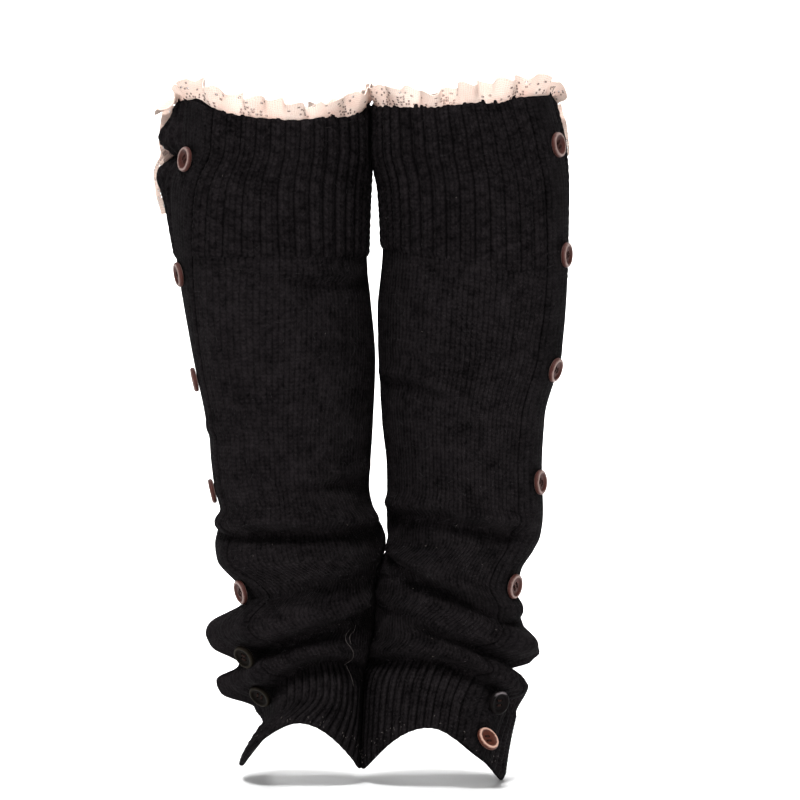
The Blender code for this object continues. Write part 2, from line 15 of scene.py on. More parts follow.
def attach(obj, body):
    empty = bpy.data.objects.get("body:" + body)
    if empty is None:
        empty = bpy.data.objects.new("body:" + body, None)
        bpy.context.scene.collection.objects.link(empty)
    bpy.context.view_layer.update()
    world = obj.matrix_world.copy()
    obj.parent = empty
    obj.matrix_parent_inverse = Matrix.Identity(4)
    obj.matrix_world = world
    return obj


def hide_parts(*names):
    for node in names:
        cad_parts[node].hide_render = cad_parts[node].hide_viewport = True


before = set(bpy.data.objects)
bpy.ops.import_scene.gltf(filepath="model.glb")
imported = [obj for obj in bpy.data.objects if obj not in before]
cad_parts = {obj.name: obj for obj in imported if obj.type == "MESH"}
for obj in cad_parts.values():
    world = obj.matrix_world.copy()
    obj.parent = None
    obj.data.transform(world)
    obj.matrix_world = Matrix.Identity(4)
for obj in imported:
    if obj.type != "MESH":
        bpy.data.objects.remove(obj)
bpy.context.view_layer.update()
MM = 0.001

# Sizes of the cloth and its trims
BODY_WALL = 2.2
SEAM_GAP = 0.3
TOP_RIBS = 38
TOP_RIB_RISE = 2.1
BODY_FOLLOWS = 0.6
DRIFT_FADES_OVER = 3.0
DRIFT_SPREAD = 0.1
ANKLE_RIBS = 42
ANKLE_RIB_RISE = 1.8
BODY_WALES = 106
WALE_RISE = 0.60
BUTTON_BAND_WIDTH = 28.0
BUTTON_BAND_WALL = 2.0
BUTTON_BAND_WALES = 8
CORNER_RISE = 3.6
CORNER_SPREAD = 18.0
CORNER_LAG = {"left": -18.0, "right": -4.0}
COURSE_HEIGHT = 2.5
CREASE_ABOVE = 0.9
CREASE_BELOW = 2.3
CREASE_RIDGE = 0.85
CABLE_REPEAT = 8.6
EDGE_LOOP_RISE = 2.4
EDGE_LOOP_POINTS = 3
RIB_HALF_WIDTH = 0.45
STRAND_SWING = 0.19
STRAND_LIFT = 0.30
STRAND_HALF_WIDTH = 0.24
SHARP_FROM = 68
BUTTON_DIAMETER = 15.0
LACE_HEIGHT = 12.5
LACE_WALL = 0.6
LACE_WAVES = 14
LACE_WAVE_DEPTH = 4.2
LACE_UNEVENNESS = 0.7
LACE_LEAN = 0.22
LACE_SCALLOP = 1.3
LACE_FOOT_GAP = 0.5
LACE_RIPPLE = 0.5
LACE_PICOT = 0.7
LACE_SWING = -1.7
LACE_COLUMNS = 190
LACE_ROWS = 8
LACE_CELL = (2.2, 1.6)
TAIL_WAVE_DEPTH = 2.0
TAIL_WAVE_LENGTH = 15.0
TAIL_NARROWING = 0.45
TAIL_EVENS = 0.8
TAIL_CLEARANCE = 1.6
TAIL_ASIDE = 1.3
TAIL_ROWS = 6
TAIL_CELL = (2.0, 1.4)

# Where the two cuffs press together, height against distance across, and the slope of that plane
CONTACT_GAP = 0.3
CONTACT_SLOPE = 0.12
CONTACT_HEIGHTS = (70, 20, -20, -200, -216, -226, -236, -249, -262, -273, -282, -291, -309, -333, -360)
CONTACT_ACROSS = (0.9, 0.9, 1.5, 9.6, 9.6, 6.0, 3.2, 3.9, 3.0, 2.2, 0.2, -3.0, -3.6, -4.2, -5.3)

# One row for each level of a cuff. Across columns are out from the plane between the cuffs, deep
# columns are back from the middle, up columns are heights, and the last is the direction of the
# button band in degrees round from the front.
SECTION_COLUMNS = ("outer_across", "outer_up", "front_deep", "front_up", "inner_across", "inner_up",
                   "back_deep", "back_up", "band_direction")
LEFT_SECTIONS = {
    "top edge": (115.5, 48, -58.0, 39, 0.5, 45, 58.0, 34, 48),
    "top band, upper": (117.5, 21, -59.5, 21, -0.5, 21, 60.0, 18, 48),
    "top band, lower": (121.5, -3, -60.0, -1, 1.6, -3, 60.0, -5, 54),
    "top band seam": (115.4, -44, -59.0, -41, 2.9, -43, 58.0, -44, 64),
    "calf, upper": (110.5, -69, -57.0, -66, 0.7, -69, 57.0, -69, 70),
    "calf, middle": (103.5, -105, -55.0, -102, -2.1, -105, 55.0, -105, 76),
    "calf, lower": (95.5, -144, -51.0, -141, -0.6, -144, 51.0, -144, 78),
    "shin": (91.0, -180, -48.0, -175, 1.5, -180, 49.0, -179, 79),
    "first ridge": (87.0, -196, -50.5, -198, -2.5, -198, 49.0, -198, 79),
    "first groove": (90.5, -209, -44.0, -206, -6.5, -206, 46.0, -208, 77),
    "second fold, top": (91.6, -215, -48.0, -212, -8.4, -213, 47.5, -214, 75),
    "second fold": (90.4, -224, -51.5, -221, -8.0, -221, 48.0, -222, 71),
    "second fold, foot": (80.0, -238, -49.5, -229, -5.5, -229, 45.0, -233, 60),
    "second groove": (76.0, -250, -45.0, -236, -4.2, -236, 42.0, -241, 52),
    "third fold": (98.6, -270, -53.0, -254, -5.4, -249, 48.0, -262, 44),
    "third groove": (79.0, -288, -43.0, -268, -3.8, -262, 41.0, -276, 41),
    "fourth fold": (92.0, -301, -48.5, -275, -4.0, -274, 44.0, -287, 43),
    "ankle seam": (70.0, -314, -41.0, -285, 2.0, -291, 39.0, -297, 47),
    "ankle": (63.5, -325, -46.0, -302, 3.0, -318, 41.0, -309, 52),
    "hem": (79.0, -348, -53.0, -316, 4.8, -350, 46.0, -316, 58),
}
RIGHT_SECTIONS = {
    "top edge": (108.5, 52, -58.0, 49, 0.8, 44, 58.0, 43, 54),
    "top band, upper": (115.0, 21, -59.5, 23, 0.6, 21, 60.0, 20, 56),
    "top band, lower": (116.3, -3, -60.0, 0, 5.8, -3, 60.0, -4, 60),
    "top band seam": (115.0, -58, -59.0, -45, 7.5, -38, 58.0, -47, 64),
    "calf, upper": (114.2, -78, -57.5, -74, 4.3, -76, 57.0, -76, 63),
    "calf, middle": (113.2, -99, -56.0, -98, 4.2, -100, 55.0, -99, 60),
    "calf, lower": (102.5, -138, -52.5, -136, 6.6, -138, 52.0, -138, 60),
    "shin": (101.0, -168, -49.5, -166, 9.9, -168, 49.0, -168, 59),
    "first ridge": (101.8, -194, -50.0, -190, 10.2, -188, 49.0, -192, 59),
    "first groove": (100.4, -209, -45.0, -202, 8.6, -200, 46.0, -205, 59),
    "second fold, top": (96.2, -218, -48.0, -211, 11.8, -216, 46.5, -214, 58),
    "second fold": (90.0, -229, -51.0, -223, 2.6, -228, 48.0, -224, 55),
    "second fold, foot": (87.2, -248, -49.5, -231, 1.6, -232, 46.0, -236, 53),
    "second groove": (92.0, -267, -44.0, -241, 2.4, -236, 42.0, -250, 55),
    "third fold": (101.0, -281, -51.0, -250, 2.4, -245, 47.0, -262, 53),
    "third groove": (82.5, -292, -43.0, -263, 2.0, -256, 41.0, -275, 51),
    "fourth fold": (94.0, -302, -47.5, -274, 0.6, -273, 44.0, -286, 49),
    "ankle seam": (87.0, -317, -41.0, -284, -3.4, -290, 39.0, -297, 45),
    "ankle": (82.5, -335, -47.0, -302, -4.4, -318, 42.0, -310, 38),
    "hem": (79.0, -357, -56.0, -318, -5.6, -350, 47.0, -318, 36),
}
LEVEL_NAMES = tuple(LEFT_SECTIONS)
SEAM_LEVEL = LEVEL_NAMES.index("top band seam")
ANKLE_LEVEL = LEVEL_NAMES.index("ankle seam")
HEM_LEVEL = LEVEL_NAMES.index("hem")

# Local bulges: level, direction in degrees, rise, spread in levels, spread in degrees
BULGES = {
    "left": {
        "turned-out corner": (0.72, 92, 8.5, 0.34, 22),
        "nick under the corner": (1.16, 84, -6.0, 0.24, 30),
        "flap under the nick": (1.62, 95, 6.0, 0.40, 22),
        "pinch at the lower buttons": (15.2, 43, -6.0, 1.3, 20),
        "third fold, upper shoulder": (13.6, 92, 4.0, 0.25, 35),
        "third fold, lower shoulder": (14.5, 92, 4.5, 0.25, 35),
        "fourth fold, upper shoulder": (15.6, 90, 4.0, 0.25, 35),
        "fourth fold, lower shoulder": (16.5, 90, 5.0, 0.25, 35),
        "front crease by the knee": (3.7, -25, -1.3, 0.16, 34),
        "front crease at the shin": (7.0, -38, -1.6, 0.25, 30),
    },
    "right": {
        "front crease at the calf": (5.4, -30, -1.2, 0.20, 30),
        "front crease at the shin": (6.1, -8, -1.3, 0.25, 24),
        "pressed outer fold": (8.0, 25, -1.4, 0.35, 22),
        "third fold, lower shoulder": (14.6, 92, 5.0, 0.22, 35),
    },
}

# How the top edge strays from its four points: direction in degrees, lift and spread in degrees
EDGE_LIFTS = {
    "left": ((49, 4.6, 18), (-16, -1.2, 14), (-54, -3.4, 20), (-90, 1.5, 14)),
    "right": ((-84, 2.4, 12), (-18, -2.6, 26), (22, -2.6, 12), (96, -3.0, 14)),
}
EDGE_LIFT_FADES = 0.6

# The same for the hem
HEM_LIFTS = {
    "left": (),
    "right": ((32, -4.5, 18),),
}

# How the lace's height strays from its usual height, the same way
LACE_LIFTS = {
    "left": ((42, 1.4, 14), (-24, -4.6, 13), (-60, 1.0, 12), (90, -18.0, 20)),
    "right": ((-20, -3.6, 11), (25, 2.0, 9), (66, -1.2, 8), (94, -15.0, 15)),
}

# How far the lace's top edge is turned out beyond that, the same way
LACE_TURNS = {
    "left": ((90, 8.0, 22),),
    "right": ((94, 4.5, 15),),
}

# Creases pressed into the front or the back: side, depth, half-width and the points across and up that
# each runs through. The cloth overhangs each crease in a soft ridge and rises slowly below it.
CREASES = {
    "left": (
        ("front", 2.2, 2.8, ((-77, -50), (-49, -54), (-31, -57), (-15, -57), (-3, -55))),
        ("front", 1.0, 3.0, ((-92, -150), (-66, -144), (-40, -147))),
        ("front", 2.6, 3.0, ((-50, -180), (-26, -178), (-5, -175))),
        ("front", 5.0, 3.6, ((-84, -208), (-52, -204), (-23, -203), (5, -206))),
        ("front", 3.2, 3.8, ((-54, -247), (-42, -243), (-26, -238), (-12, -232))),
        ("front", 5.8, 3.7, ((-68, -274), (-42, -266), (-10, -257), (1, -253))),
        ("front", 5.6, 3.4, ((-62, -299), (-44, -286), (-28, -282), (-13, -284), (-5, -289))),
        ("back", 1.9, 3.0, ((-82, -64), (-50, -60), (-22, -66))),
        ("back", 3.0, 3.3, ((-84, -206), (-52, -201), (-14, -209))),
        ("back", 2.4, 3.6, ((-70, -236), (-52, -230), (-30, -233), (-12, -240))),
        ("back", 3.2, 3.2, ((-62, -266), (-34, -259), (-8, -264))),
        ("back", 1.4, 3.6, ((-82, -132), (-58, -126), (-34, -129))),
        ("back", 1.6, 3.4, ((-60, -176), (-36, -182), (-14, -179))),
    ),
    "right": (
        ("front", 1.2, 2.8, ((24, -101), (38, -101), (54, -104))),
        ("front", 2.1, 2.8, ((12, -117), (30, -119), (48, -127))),
        ("front", 5.0, 3.6, ((8, -197), (40, -195), (60, -200), (80, -205))),
        ("front", 6.4, 4.4, ((4, -222), (20, -228), (41, -238), (59, -249), (79, -261))),
        ("front", 1.6, 2.6, ((4, -251), (12, -254), (25, -255))),
        ("front", 4.8, 3.6, ((32, -264), (46, -269), (65, -275), (85, -281))),
        ("front", 5.4, 3.4, ((-1, -284), (19, -282), (40, -281), (59, -287), (73, -297), (84, -308))),
        ("back", 1.6, 3.2, ((20, -112), (48, -106), (80, -112))),
        ("back", 1.5, 3.4, ((24, -168), (52, -162), (78, -168))),
        ("back", 3.0, 3.2, ((10, -202), (44, -197), (84, -204))),
        ("back", 3.2, 3.6, ((6, -232), (28, -228), (52, -236), (76, -246))),
        ("back", 2.8, 3.0, ((18, -256), (40, -260), (64, -272))),
    ),
}

# How far down and out the lace hangs beside the button band
LACE_TAILS = {
    "left": {"first_level": 0.02, "last_level": 2.35, "width": 9.5, "heading": 98},
    "right": {"first_level": 0.05, "last_level": 1.15, "width": 4.5, "heading": 97},
}


def smooth_rows(rows, place):
    """Values of a table between its rows, by a cubic that never passes a row's own values."""
    rows = np.asarray(rows, dtype=float)
    step = np.diff(rows, axis=0)
    same_way = step[:-1] * step[1:] > 0
    total = np.where(same_way, step[:-1] + step[1:], 1.0)
    slope = np.zeros_like(rows)
    slope[1:-1] = np.where(same_way, 2.0 * step[:-1] * step[1:] / total, 0.0)
    slope[0] = step[0]
    slope[-1] = step[-1]
    first = np.clip(np.floor(place).astype(int), 0, len(rows) - 2)
    t = (place - first)[..., None]
    start = (2 * t**3 - 3 * t**2 + 1) * rows[first] + (t**3 - 2 * t**2 + t) * slope[first]
    end = (3 * t**2 - 2 * t**3) * rows[first + 1] + (t**3 - t**2) * slope[first + 1]
    return start + end


def turn_between(direction, middle):
    """The signed angle from one direction to another, in radians."""
    return (direction - middle + math.pi) % (2 * math.pi) - math.pi


def hill(distance, spread):
    return np.exp(-(distance / spread) ** 2)


def lifted(direction, lifts):
    """The sum of the lifts of a table at these directions."""
    return sum((lift * hill(turn_between(direction, math.radians(heading)), math.radians(spread))
                for heading, lift, spread in lifts), 0.0)


def fraction(value):
    return value - np.floor(value)


def unit(vectors):
    return vectors / np.maximum(np.linalg.norm(vectors, axis=-1, keepdims=True), 1e-9)


def beside_line(across, up, line):
    """Signed height above a line of points, and the distance past its ends."""
    line = np.array(line, dtype=float)
    line = line[np.argsort(line[:, 0])]
    height = up - np.interp(across, line[:, 0], line[:, 1])
    past = np.maximum(line[0, 0] - across, across - line[-1, 0])
    return height, np.maximum(past, 0)


class Cuff:
    """The plain tube of one cuff, as points at a level and a direction round it."""

    def __init__(self, name, side, sections):
        self.name = name
        self.side = side
        self.sections = np.array(list(sections.values()), dtype=float)
        self.bulges = BULGES[name].values()
        self.creases = CREASES[name]

    def section(self, level):
        values = smooth_rows(self.sections, np.asarray(level, dtype=float))
        return dict(zip(SECTION_COLUMNS, np.moveaxis(values, -1, 0)))

    def point(self, level, direction):
        """Points in millimetres, one for each pair of a level and a direction in radians."""
        level, direction = np.broadcast_arrays(np.asarray(level, float), np.asarray(direction, float))
        at = self.section(level)
        sine = np.sin(direction)
        cosine = np.cos(direction)
        half_across = (at["outer_across"] - at["inner_across"]) / 2
        half_deep = (at["back_deep"] - at["front_deep"]) / 2
        across = (at["outer_across"] + at["inner_across"]) / 2 + half_across * sine
        deep = (at["back_deep"] + at["front_deep"]) / 2 - half_deep * cosine
        mean_up = (at["outer_up"] + at["front_up"] + at["inner_up"] + at["back_up"]) / 4
        twice = (at["front_up"] + at["back_up"] - at["outer_up"] - at["inner_up"]) / 4
        up = mean_up + (at["front_up"] - at["back_up"]) / 2 * cosine
        up = up + (at["outer_up"] - at["inner_up"]) / 2 * sine + twice * np.cos(2 * direction)
        up = up + lifted(direction, EDGE_LIFTS[self.name]) * hill(level, EDGE_LIFT_FADES)
        up = up + lifted(direction, HEM_LIFTS[self.name]) * hill(HEM_LEVEL - level, EDGE_LIFT_FADES)

        corner = np.radians(at["band_direction"] + CORNER_LAG[self.name])
        rise = CORNER_RISE * hill(turn_between(direction, corner), math.radians(CORNER_SPREAD))
        rise = rise + self.bulge(level, direction)
        rise = rise + self.creased(self.side * across, up, cosine)
        across = self.side * (across + rise * sine)
        deep = deep - rise * cosine
        return self.kept_apart(np.stack([across, deep, up], axis=-1))

    def creased(self, across, up, cosine):
        """How far the small creases move the cloth out."""
        rise = np.zeros_like(across)
        for face, depth, width, line in self.creases:
            height, past = beside_line(across, up, line)
            facing = np.clip((cosine if face == "front" else -cosine) * 3, 0, 1)
            trough = hill(height, np.where(height > 0, CREASE_ABOVE, CREASE_BELOW) * width)
            ridge = CREASE_RIDGE * hill(height - 2.1 * width, 1.25 * width)
            rise = rise + depth * (ridge - trough) * facing * hill(past, 8.0)
        return rise

    def bulge(self, level, direction):
        """How far the local bulges move the cloth out."""
        rise = 0.0
        for middle, heading, height, levels, degrees in self.bulges:
            round_it = hill(turn_between(direction, math.radians(heading)), math.radians(degrees))
            rise = rise + height * round_it * hill(level - middle, levels)
        return rise

    def kept_apart(self, points):
        """The same points, flattened where they would pass the plane that parts the two cuffs."""
        order = np.argsort(CONTACT_HEIGHTS)
        plane = np.interp(points[..., 2], np.array(CONTACT_HEIGHTS)[order], np.array(CONTACT_ACROSS)[order])
        plane = plane + CONTACT_SLOPE * points[..., 1] + self.side * CONTACT_GAP / 2
        limit = np.minimum if self.side < 0 else np.maximum
        across = limit(points[..., 0], plane)
        return np.stack([across, points[..., 1], points[..., 2]], axis=-1)

    def normal(self, level, direction):
        """The way out of the cloth at each point."""
        step = 0.02
        round_it = self.point(level, direction + step) - self.point(level, direction - step)
        top = np.clip(np.asarray(level, float) - step, 0, HEM_LEVEL)
        foot = np.clip(np.asarray(level, float) + step, 0, HEM_LEVEL)
        down = self.point(foot, direction) - self.point(top, direction)
        return -unit(self.side * np.cross(round_it, down))

    def moved_out(self, level, direction, distance):
        distance = np.asarray(distance, dtype=float)[..., None]
        return self.point(level, direction) + self.normal(level, direction) * distance

    def band_half_angle(self, level):
        at = self.section(level)
        girth = (at["outer_across"] - at["inner_across"] + at["back_deep"] - at["front_deep"]) / 4
        return BUTTON_BAND_WIDTH / 2 / girth

    def direction(self, level, place):
        """The direction of a knit column. Places -1 to 1 cross the button band, 1 to 2 run on round
        the back, the inner side and the front, to the button band's front edge."""
        level, place = np.broadcast_arrays(np.asarray(level, float), np.asarray(place, float))
        middle = np.radians(self.section(level)["band_direction"])
        half = self.band_half_angle(level)
        on_band = middle + half * place
        around = place - 1
        near_band = hill(around, DRIFT_SPREAD) + hill(1 - around, DRIFT_SPREAD)
        past_band = around * (2 * math.pi - 2 * half)
        off_band = middle + half + past_band - self.drift(level, middle) * (1 - near_band)
        return np.where(place <= 1, on_band, off_band)

    def drift(self, level, middle):
        """How far the button band has turned from where the knit's columns far from it stay."""
        home = np.radians(self.section(SEAM_LEVEL / 2)["band_direction"])
        follows = BODY_FOLLOWS * np.clip((level - SEAM_LEVEL) / DRIFT_FADES_OVER, 0, 1)
        return (middle - home) * (1 - follows)

    def even_levels(self, first, last, spacing):
        """Levels whose rows lie about this far apart down the cloth."""
        fine = np.linspace(first, last, 601)
        points = self.point(fine[:, None], np.radians(np.arange(0, 360, 30))[None, :])
        steps = np.linalg.norm(np.diff(points, axis=0), axis=-1).mean(axis=1)
        run = np.concatenate([[0], np.cumsum(steps)])
        count = max(2, round(run[-1] / spacing))
        return np.interp(np.linspace(0, run[-1], count + 1), run, fine)


def down_the_cloth(points):
    """How far each point of a grid lies down its own column, in millimetres."""
    steps = np.linalg.norm(np.diff(points, axis=0), axis=-1)
    return np.concatenate([np.zeros((1, points.shape[1])), np.cumsum(steps, axis=0)])


class Shell:
    """Points, faces and stitch coordinates of one piece while it is gathered."""

    def __init__(self):
        self.points = []
        self.faces = []
        self.corners = []
        self.count = 0

    def add_points(self, points):
        points = np.asarray(points, dtype=float).reshape(-1, 3)
        first = self.count
        self.points.append(points)
        self.count += len(points)
        return np.arange(first, self.count)

    def add_faces(self, faces, corners):
        self.faces += faces.tolist()
        self.corners.append(corners.reshape(-1, 2))

    def add_grid(self, grid, stitch, closed, turned):
        """A grid's quads. The stitch coordinates of a closed grid have one more column than it."""
        rows, wide = grid.shape[:2]
        index = self.add_points(grid).reshape(rows, wide)
        if closed:
            index = np.concatenate([index, index[:, :1]], axis=1)
        quads = np.stack([index[:-1, :-1], index[1:, :-1], index[1:, 1:], index[:-1, 1:]], axis=-1)
        corners = np.stack([stitch[:-1, :-1], stitch[1:, :-1], stitch[1:, 1:], stitch[:-1, 1:]], axis=-2)
        quads = quads.reshape(-1, 4)
        corners = corners.reshape(-1, 4, 2)
        if turned:
            quads = quads[:, ::-1]
            corners = corners[:, ::-1]
        self.add_faces(quads, corners)
        return index

    def add_rim(self, outer, inner, starts, stitch, turned):
        """Triangles between a fine edge and a coarse edge, whose points start at these fine ones."""
        triangles = []
        places = []
        for k in range(len(inner) - 1):
            fan = range(starts[k], starts[k + 1])
            triangles += [(inner[k], outer[j], outer[j + 1]) for j in fan]
            places += [(starts[k], j, j + 1) for j in fan]
            triangles.append((inner[k], outer[starts[k + 1]], inner[k + 1]))
            places.append((starts[k], starts[k + 1], starts[k + 1]))
        triangles = np.array(triangles)
        corners = stitch[np.array(places)]
        if turned:
            triangles = triangles[:, ::-1]
            corners = corners[:, ::-1]
        self.add_faces(triangles, corners)

    def make(self, name, side, look):
        """The finished object, which rides on the one body. The left cuff's faces turn the other way."""
        points = np.concatenate(self.points)
        faces = self.faces
        corners = np.concatenate(self.corners)
        if side < 0:
            ends = np.cumsum([len(face) for face in faces])
            begins = ends - np.array([len(face) for face in faces])
            order = np.concatenate([np.arange(end - 1, begin - 1, -1) for begin, end in zip(begins, ends)])
            corners = corners[order]
            faces = [face[::-1] for face in faces]
        mesh = bpy.data.meshes.new(name)
        mesh.from_pydata((points * MM).tolist(), [], faces)
        mesh.uv_layers.new(name="stitches").data.foreach_set("uv", corners.ravel())
        mesh.shade_smooth()
        mesh.set_sharp_from_angle(angle=math.radians(SHARP_FROM))
        mesh.materials.append(look)
        return placed(name, mesh)


def placed(name, mesh, place=None):
    """A piece that rides on the one body. Its mesh is already in place, unless a place is given."""
    made = bpy.data.objects.new(name, mesh)
    if place is not None:
        made.matrix_world = place
    bpy.context.scene.collection.objects.link(made)
    if place is not None:
        bpy.context.view_layer.update()
    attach(made, "root")
    return made


# Materials


class Look:
    """A material, with short calls that add its nodes."""

    def __init__(self, name, colour, roughness, specular):
        self.made = bpy.data.materials.new(name)
        self.made.use_nodes = True
        self.tree = self.made.node_tree
        self.shader = self.tree.nodes["Principled BSDF"]
        self.shader.inputs["Base Color"].default_value = colour
        self.shader.inputs["Roughness"].default_value = roughness
        self.shader.inputs["Specular IOR Level"].default_value = specular

    def feed(self, socket, value):
        if isinstance(value, bpy.types.NodeSocket):
            self.tree.links.new(value, socket)
        else:
            socket.default_value = value

    def math(self, kind, first, second=0.0, third=0.0):
        node = self.tree.nodes.new("ShaderNodeMath")
        node.operation = kind
        for socket, value in zip(node.inputs, (first, second, third)):
            self.feed(socket, value)
        return node.outputs["Value"]

    def mix(self, share, first, second, blend="MIX"):
        node = self.tree.nodes.new("ShaderNodeMix")
        node.data_type = "RGBA"
        node.blend_type = blend
        for name, value in (("Factor_Float", share), ("A_Color", first), ("B_Color", second)):
            self.feed(next(socket for socket in node.inputs if socket.identifier == name), value)
        return next(socket for socket in node.outputs if socket.identifier == "Result_Color")

    def ramp(self, value, start, width):
        """From 0 to 1 as a value in metres passes a stretch given in millimetres. A negative width makes it
        fall from 1 to 0 instead."""
        share = self.math("DIVIDE", self.math("SUBTRACT", value, start * MM), width * MM)
        return self.math("MINIMUM", self.math("MAXIMUM", share, 0.0), 1.0)

    def from_middle(self, value):
        """How far a value lies from the middle between two whole numbers, from 0 to 1."""
        aside = self.math("SUBTRACT", self.math("FRACT", value), 0.5)
        return self.math("MULTIPLY", self.math("ABSOLUTE", aside), 2.0)

    def object_place(self):
        return self.tree.nodes.new("ShaderNodeTexCoord").outputs["Object"]

    def stitches(self):
        node = self.tree.nodes.new("ShaderNodeUVMap")
        node.uv_map = "stitches"
        apart = self.tree.nodes.new("ShaderNodeSeparateXYZ")
        self.tree.links.new(node.outputs["UV"], apart.inputs["Vector"])
        return node.outputs["UV"], apart.outputs["X"], apart.outputs["Y"]

    def noise(self, place, scale, detail=2.0, rough=0.5):
        node = self.tree.nodes.new("ShaderNodeTexNoise")
        self.feed(node.inputs["Vector"], place)
        self.feed(node.inputs["Scale"], scale)
        self.feed(node.inputs["Detail"], detail)
        self.feed(node.inputs["Roughness"], rough)
        return node.outputs["Fac"]

    def bumped(self, height, strength, distance):
        node = self.tree.nodes.new("ShaderNodeBump")
        node.inputs["Strength"].default_value = strength
        node.inputs["Distance"].default_value = distance
        self.feed(node.inputs["Height"], height)
        self.feed(self.shader.inputs["Normal"], node.outputs["Normal"])

    def coloured(self, value):
        self.feed(self.shader.inputs["Base Color"], value)


def shaded(colour, share):
    """A colour made darker or lighter, and still opaque."""
    return tuple(min(1.0, share * part) for part in colour[:3]) + (1.0,)


def knit_look(name, dark, light, relief, rib_wales, groove_power=9.0, cabled=False):
    """Stocking stitch: slanted legs that meet in a V down the middle of each wale, in hairy yarn. The
    colour is painted lighter on the raised legs and darker between them, as painted shade, and varies at
    random.
    Where the knit is ribbed, the groove between ribs of so many wales is painted darker as shade, and where
    it is cabled, so are the pits between one crossing and the next."""
    look = Look(name, light, 0.92, 0.03)
    place = look.object_place()
    _, wale, course = look.stitches()
    loose = look.noise(place, 520.0, 2.0, 0.6)
    course = look.math("MULTIPLY_ADD", loose, 0.6, course)
    wale = look.math("MULTIPLY_ADD", loose, 0.45, wale)
    aside = look.from_middle(wale)
    slanted = look.math("MULTIPLY_ADD", aside, 0.55, course)
    along = look.math("SINE", look.math("MULTIPLY", look.math("FRACT", slanted), math.pi))
    along = look.math("MULTIPLY_ADD", along, 0.65, 0.35)
    across = look.math("SUBTRACT", 1.0, look.math("POWER", aside, 3.0))
    leg = look.math("POWER", look.math("MULTIPLY", along, across), 0.6)
    hair = look.noise(place, 1400.0, 3.0, 0.7)
    height = look.math("MULTIPLY_ADD", hair, 0.5, leg)
    height = look.math("MULTIPLY_ADD", loose, 1.0, height)
    patches = look.noise(place, 60.0, 3.0, 0.6)
    lumps = look.noise(place, 210.0, 2.0, 0.6)
    # Painted shade: darker between the raised stitch legs, lighter on them. The noises below vary the tone
    # at random.
    share = look.math("MULTIPLY_ADD", leg, 0.48, -0.08)
    for uneven, strength in ((patches, 0.9), (lumps, 1.0), (loose, 1.0), (hair, 0.7)):
        share = look.math("MULTIPLY_ADD", look.math("SUBTRACT", uneven, 0.5), strength, share)
    share = look.math("MAXIMUM", look.math("ADD", share, 0.20), 0.0)
    if rib_wales:
        beside = look.from_middle(look.math("DIVIDE", wale, rib_wales))
        # Painted shade in the groove between ribs.
        groove = look.math("POWER", beside, groove_power)
        share = look.math("MULTIPLY", share, look.math("SUBTRACT", 1.0, groove))
    if cabled:
        rib = look.math("FLOOR", look.math("DIVIDE", wale, rib_wales))
        crossing = look.math("MULTIPLY", course, COURSE_HEIGHT / CABLE_REPEAT)
        crossing = look.math("ADD", crossing, look.math("FRACT", look.math("MULTIPLY", rib, 0.37)))
        leaning = look.math("MULTIPLY_ADD", beside, 0.22, crossing)
        pit = look.math("ABSOLUTE", look.math("SINE", look.math("MULTIPLY", leaning, math.pi)))
        pit = look.math("MULTIPLY", look.math("POWER", pit, 10.0), look.math("SUBTRACT", 1.0, beside))
        lump = look.math("SUBTRACT", 1.0, pit)
        # Painted shade in the pits between cable crossings.
        share = look.math("MULTIPLY", share, look.math("MULTIPLY_ADD", lump, 0.60, 0.46))
        height = look.math("MULTIPLY_ADD", lump, 0.8, height)
    look.bumped(height, relief, 0.0009)
    look.coloured(look.mix(share, dark, light))
    return look.made


def lace_look():
    """Cotton lace: a fine net of threads, with painted shade in random pinkish-tan patches that grow weaker
    towards the lace's free edge, and painted shade round each eyelet.
    """
    look = Look("cream lace thread", (0.93, 0.84, 0.77, 1), 0.8, 0.15)
    place = look.object_place()
    stitch, _, up = look.stitches()
    ring = look.tree.nodes.new("ShaderNodeTexVoronoi")
    ring.voronoi_dimensions = "2D"
    ring.feature = "DISTANCE_TO_EDGE"
    ring.inputs["Scale"].default_value = 0.95
    ring.inputs["Randomness"].default_value = 0.45
    look.feed(ring.inputs["Vector"], stitch)
    thread = look.math("SUBTRACT", 1.0, look.math("MULTIPLY", ring.outputs["Distance"], 2.6))
    thread = look.math("MAXIMUM", thread, 0.0)
    fibre = look.noise(place, 2400.0, 2.0, 0.6)
    look.bumped(look.math("MULTIPLY_ADD", fibre, 0.3, thread), 0.7, 0.0004)
    # Painted shade: random pinkish-tan patches stand in for the shade of the lace's folds, and grow weaker
    # towards its free edge.
    patch_shade = look.math("MULTIPLY_ADD", look.noise(place, 75.0, 3.0, 0.6), 3.2, -1.2)
    patch_shade = look.math("MINIMUM", look.math("MAXIMUM", patch_shade, 0.0), 1.0)
    shade = look.mix(look.math("MULTIPLY", thread, 0.8), (0.70, 0.52, 0.45, 1), (0.90, 0.79, 0.72, 1))
    paler = look.math("MULTIPLY_ADD", up, -0.06, 1.0)
    tint = look.mix(look.math("MULTIPLY", patch_shade, paler), (0.98, 0.96, 0.93, 1), (0.76, 0.50, 0.42, 1))
    lit = look.mix(0.6, shade, tint, "MULTIPLY")
    # Painted shade: the lace is painted dark brown round each eyelet, where the hole lies in shade.
    rim = look.tree.nodes.new("ShaderNodeAttribute")
    rim.attribute_name = "eyelet"
    look.coloured(look.mix(look.math("POWER", rim.outputs["Fac"], 1.4), lit, (0.10, 0.055, 0.045, 1)))
    return look.made


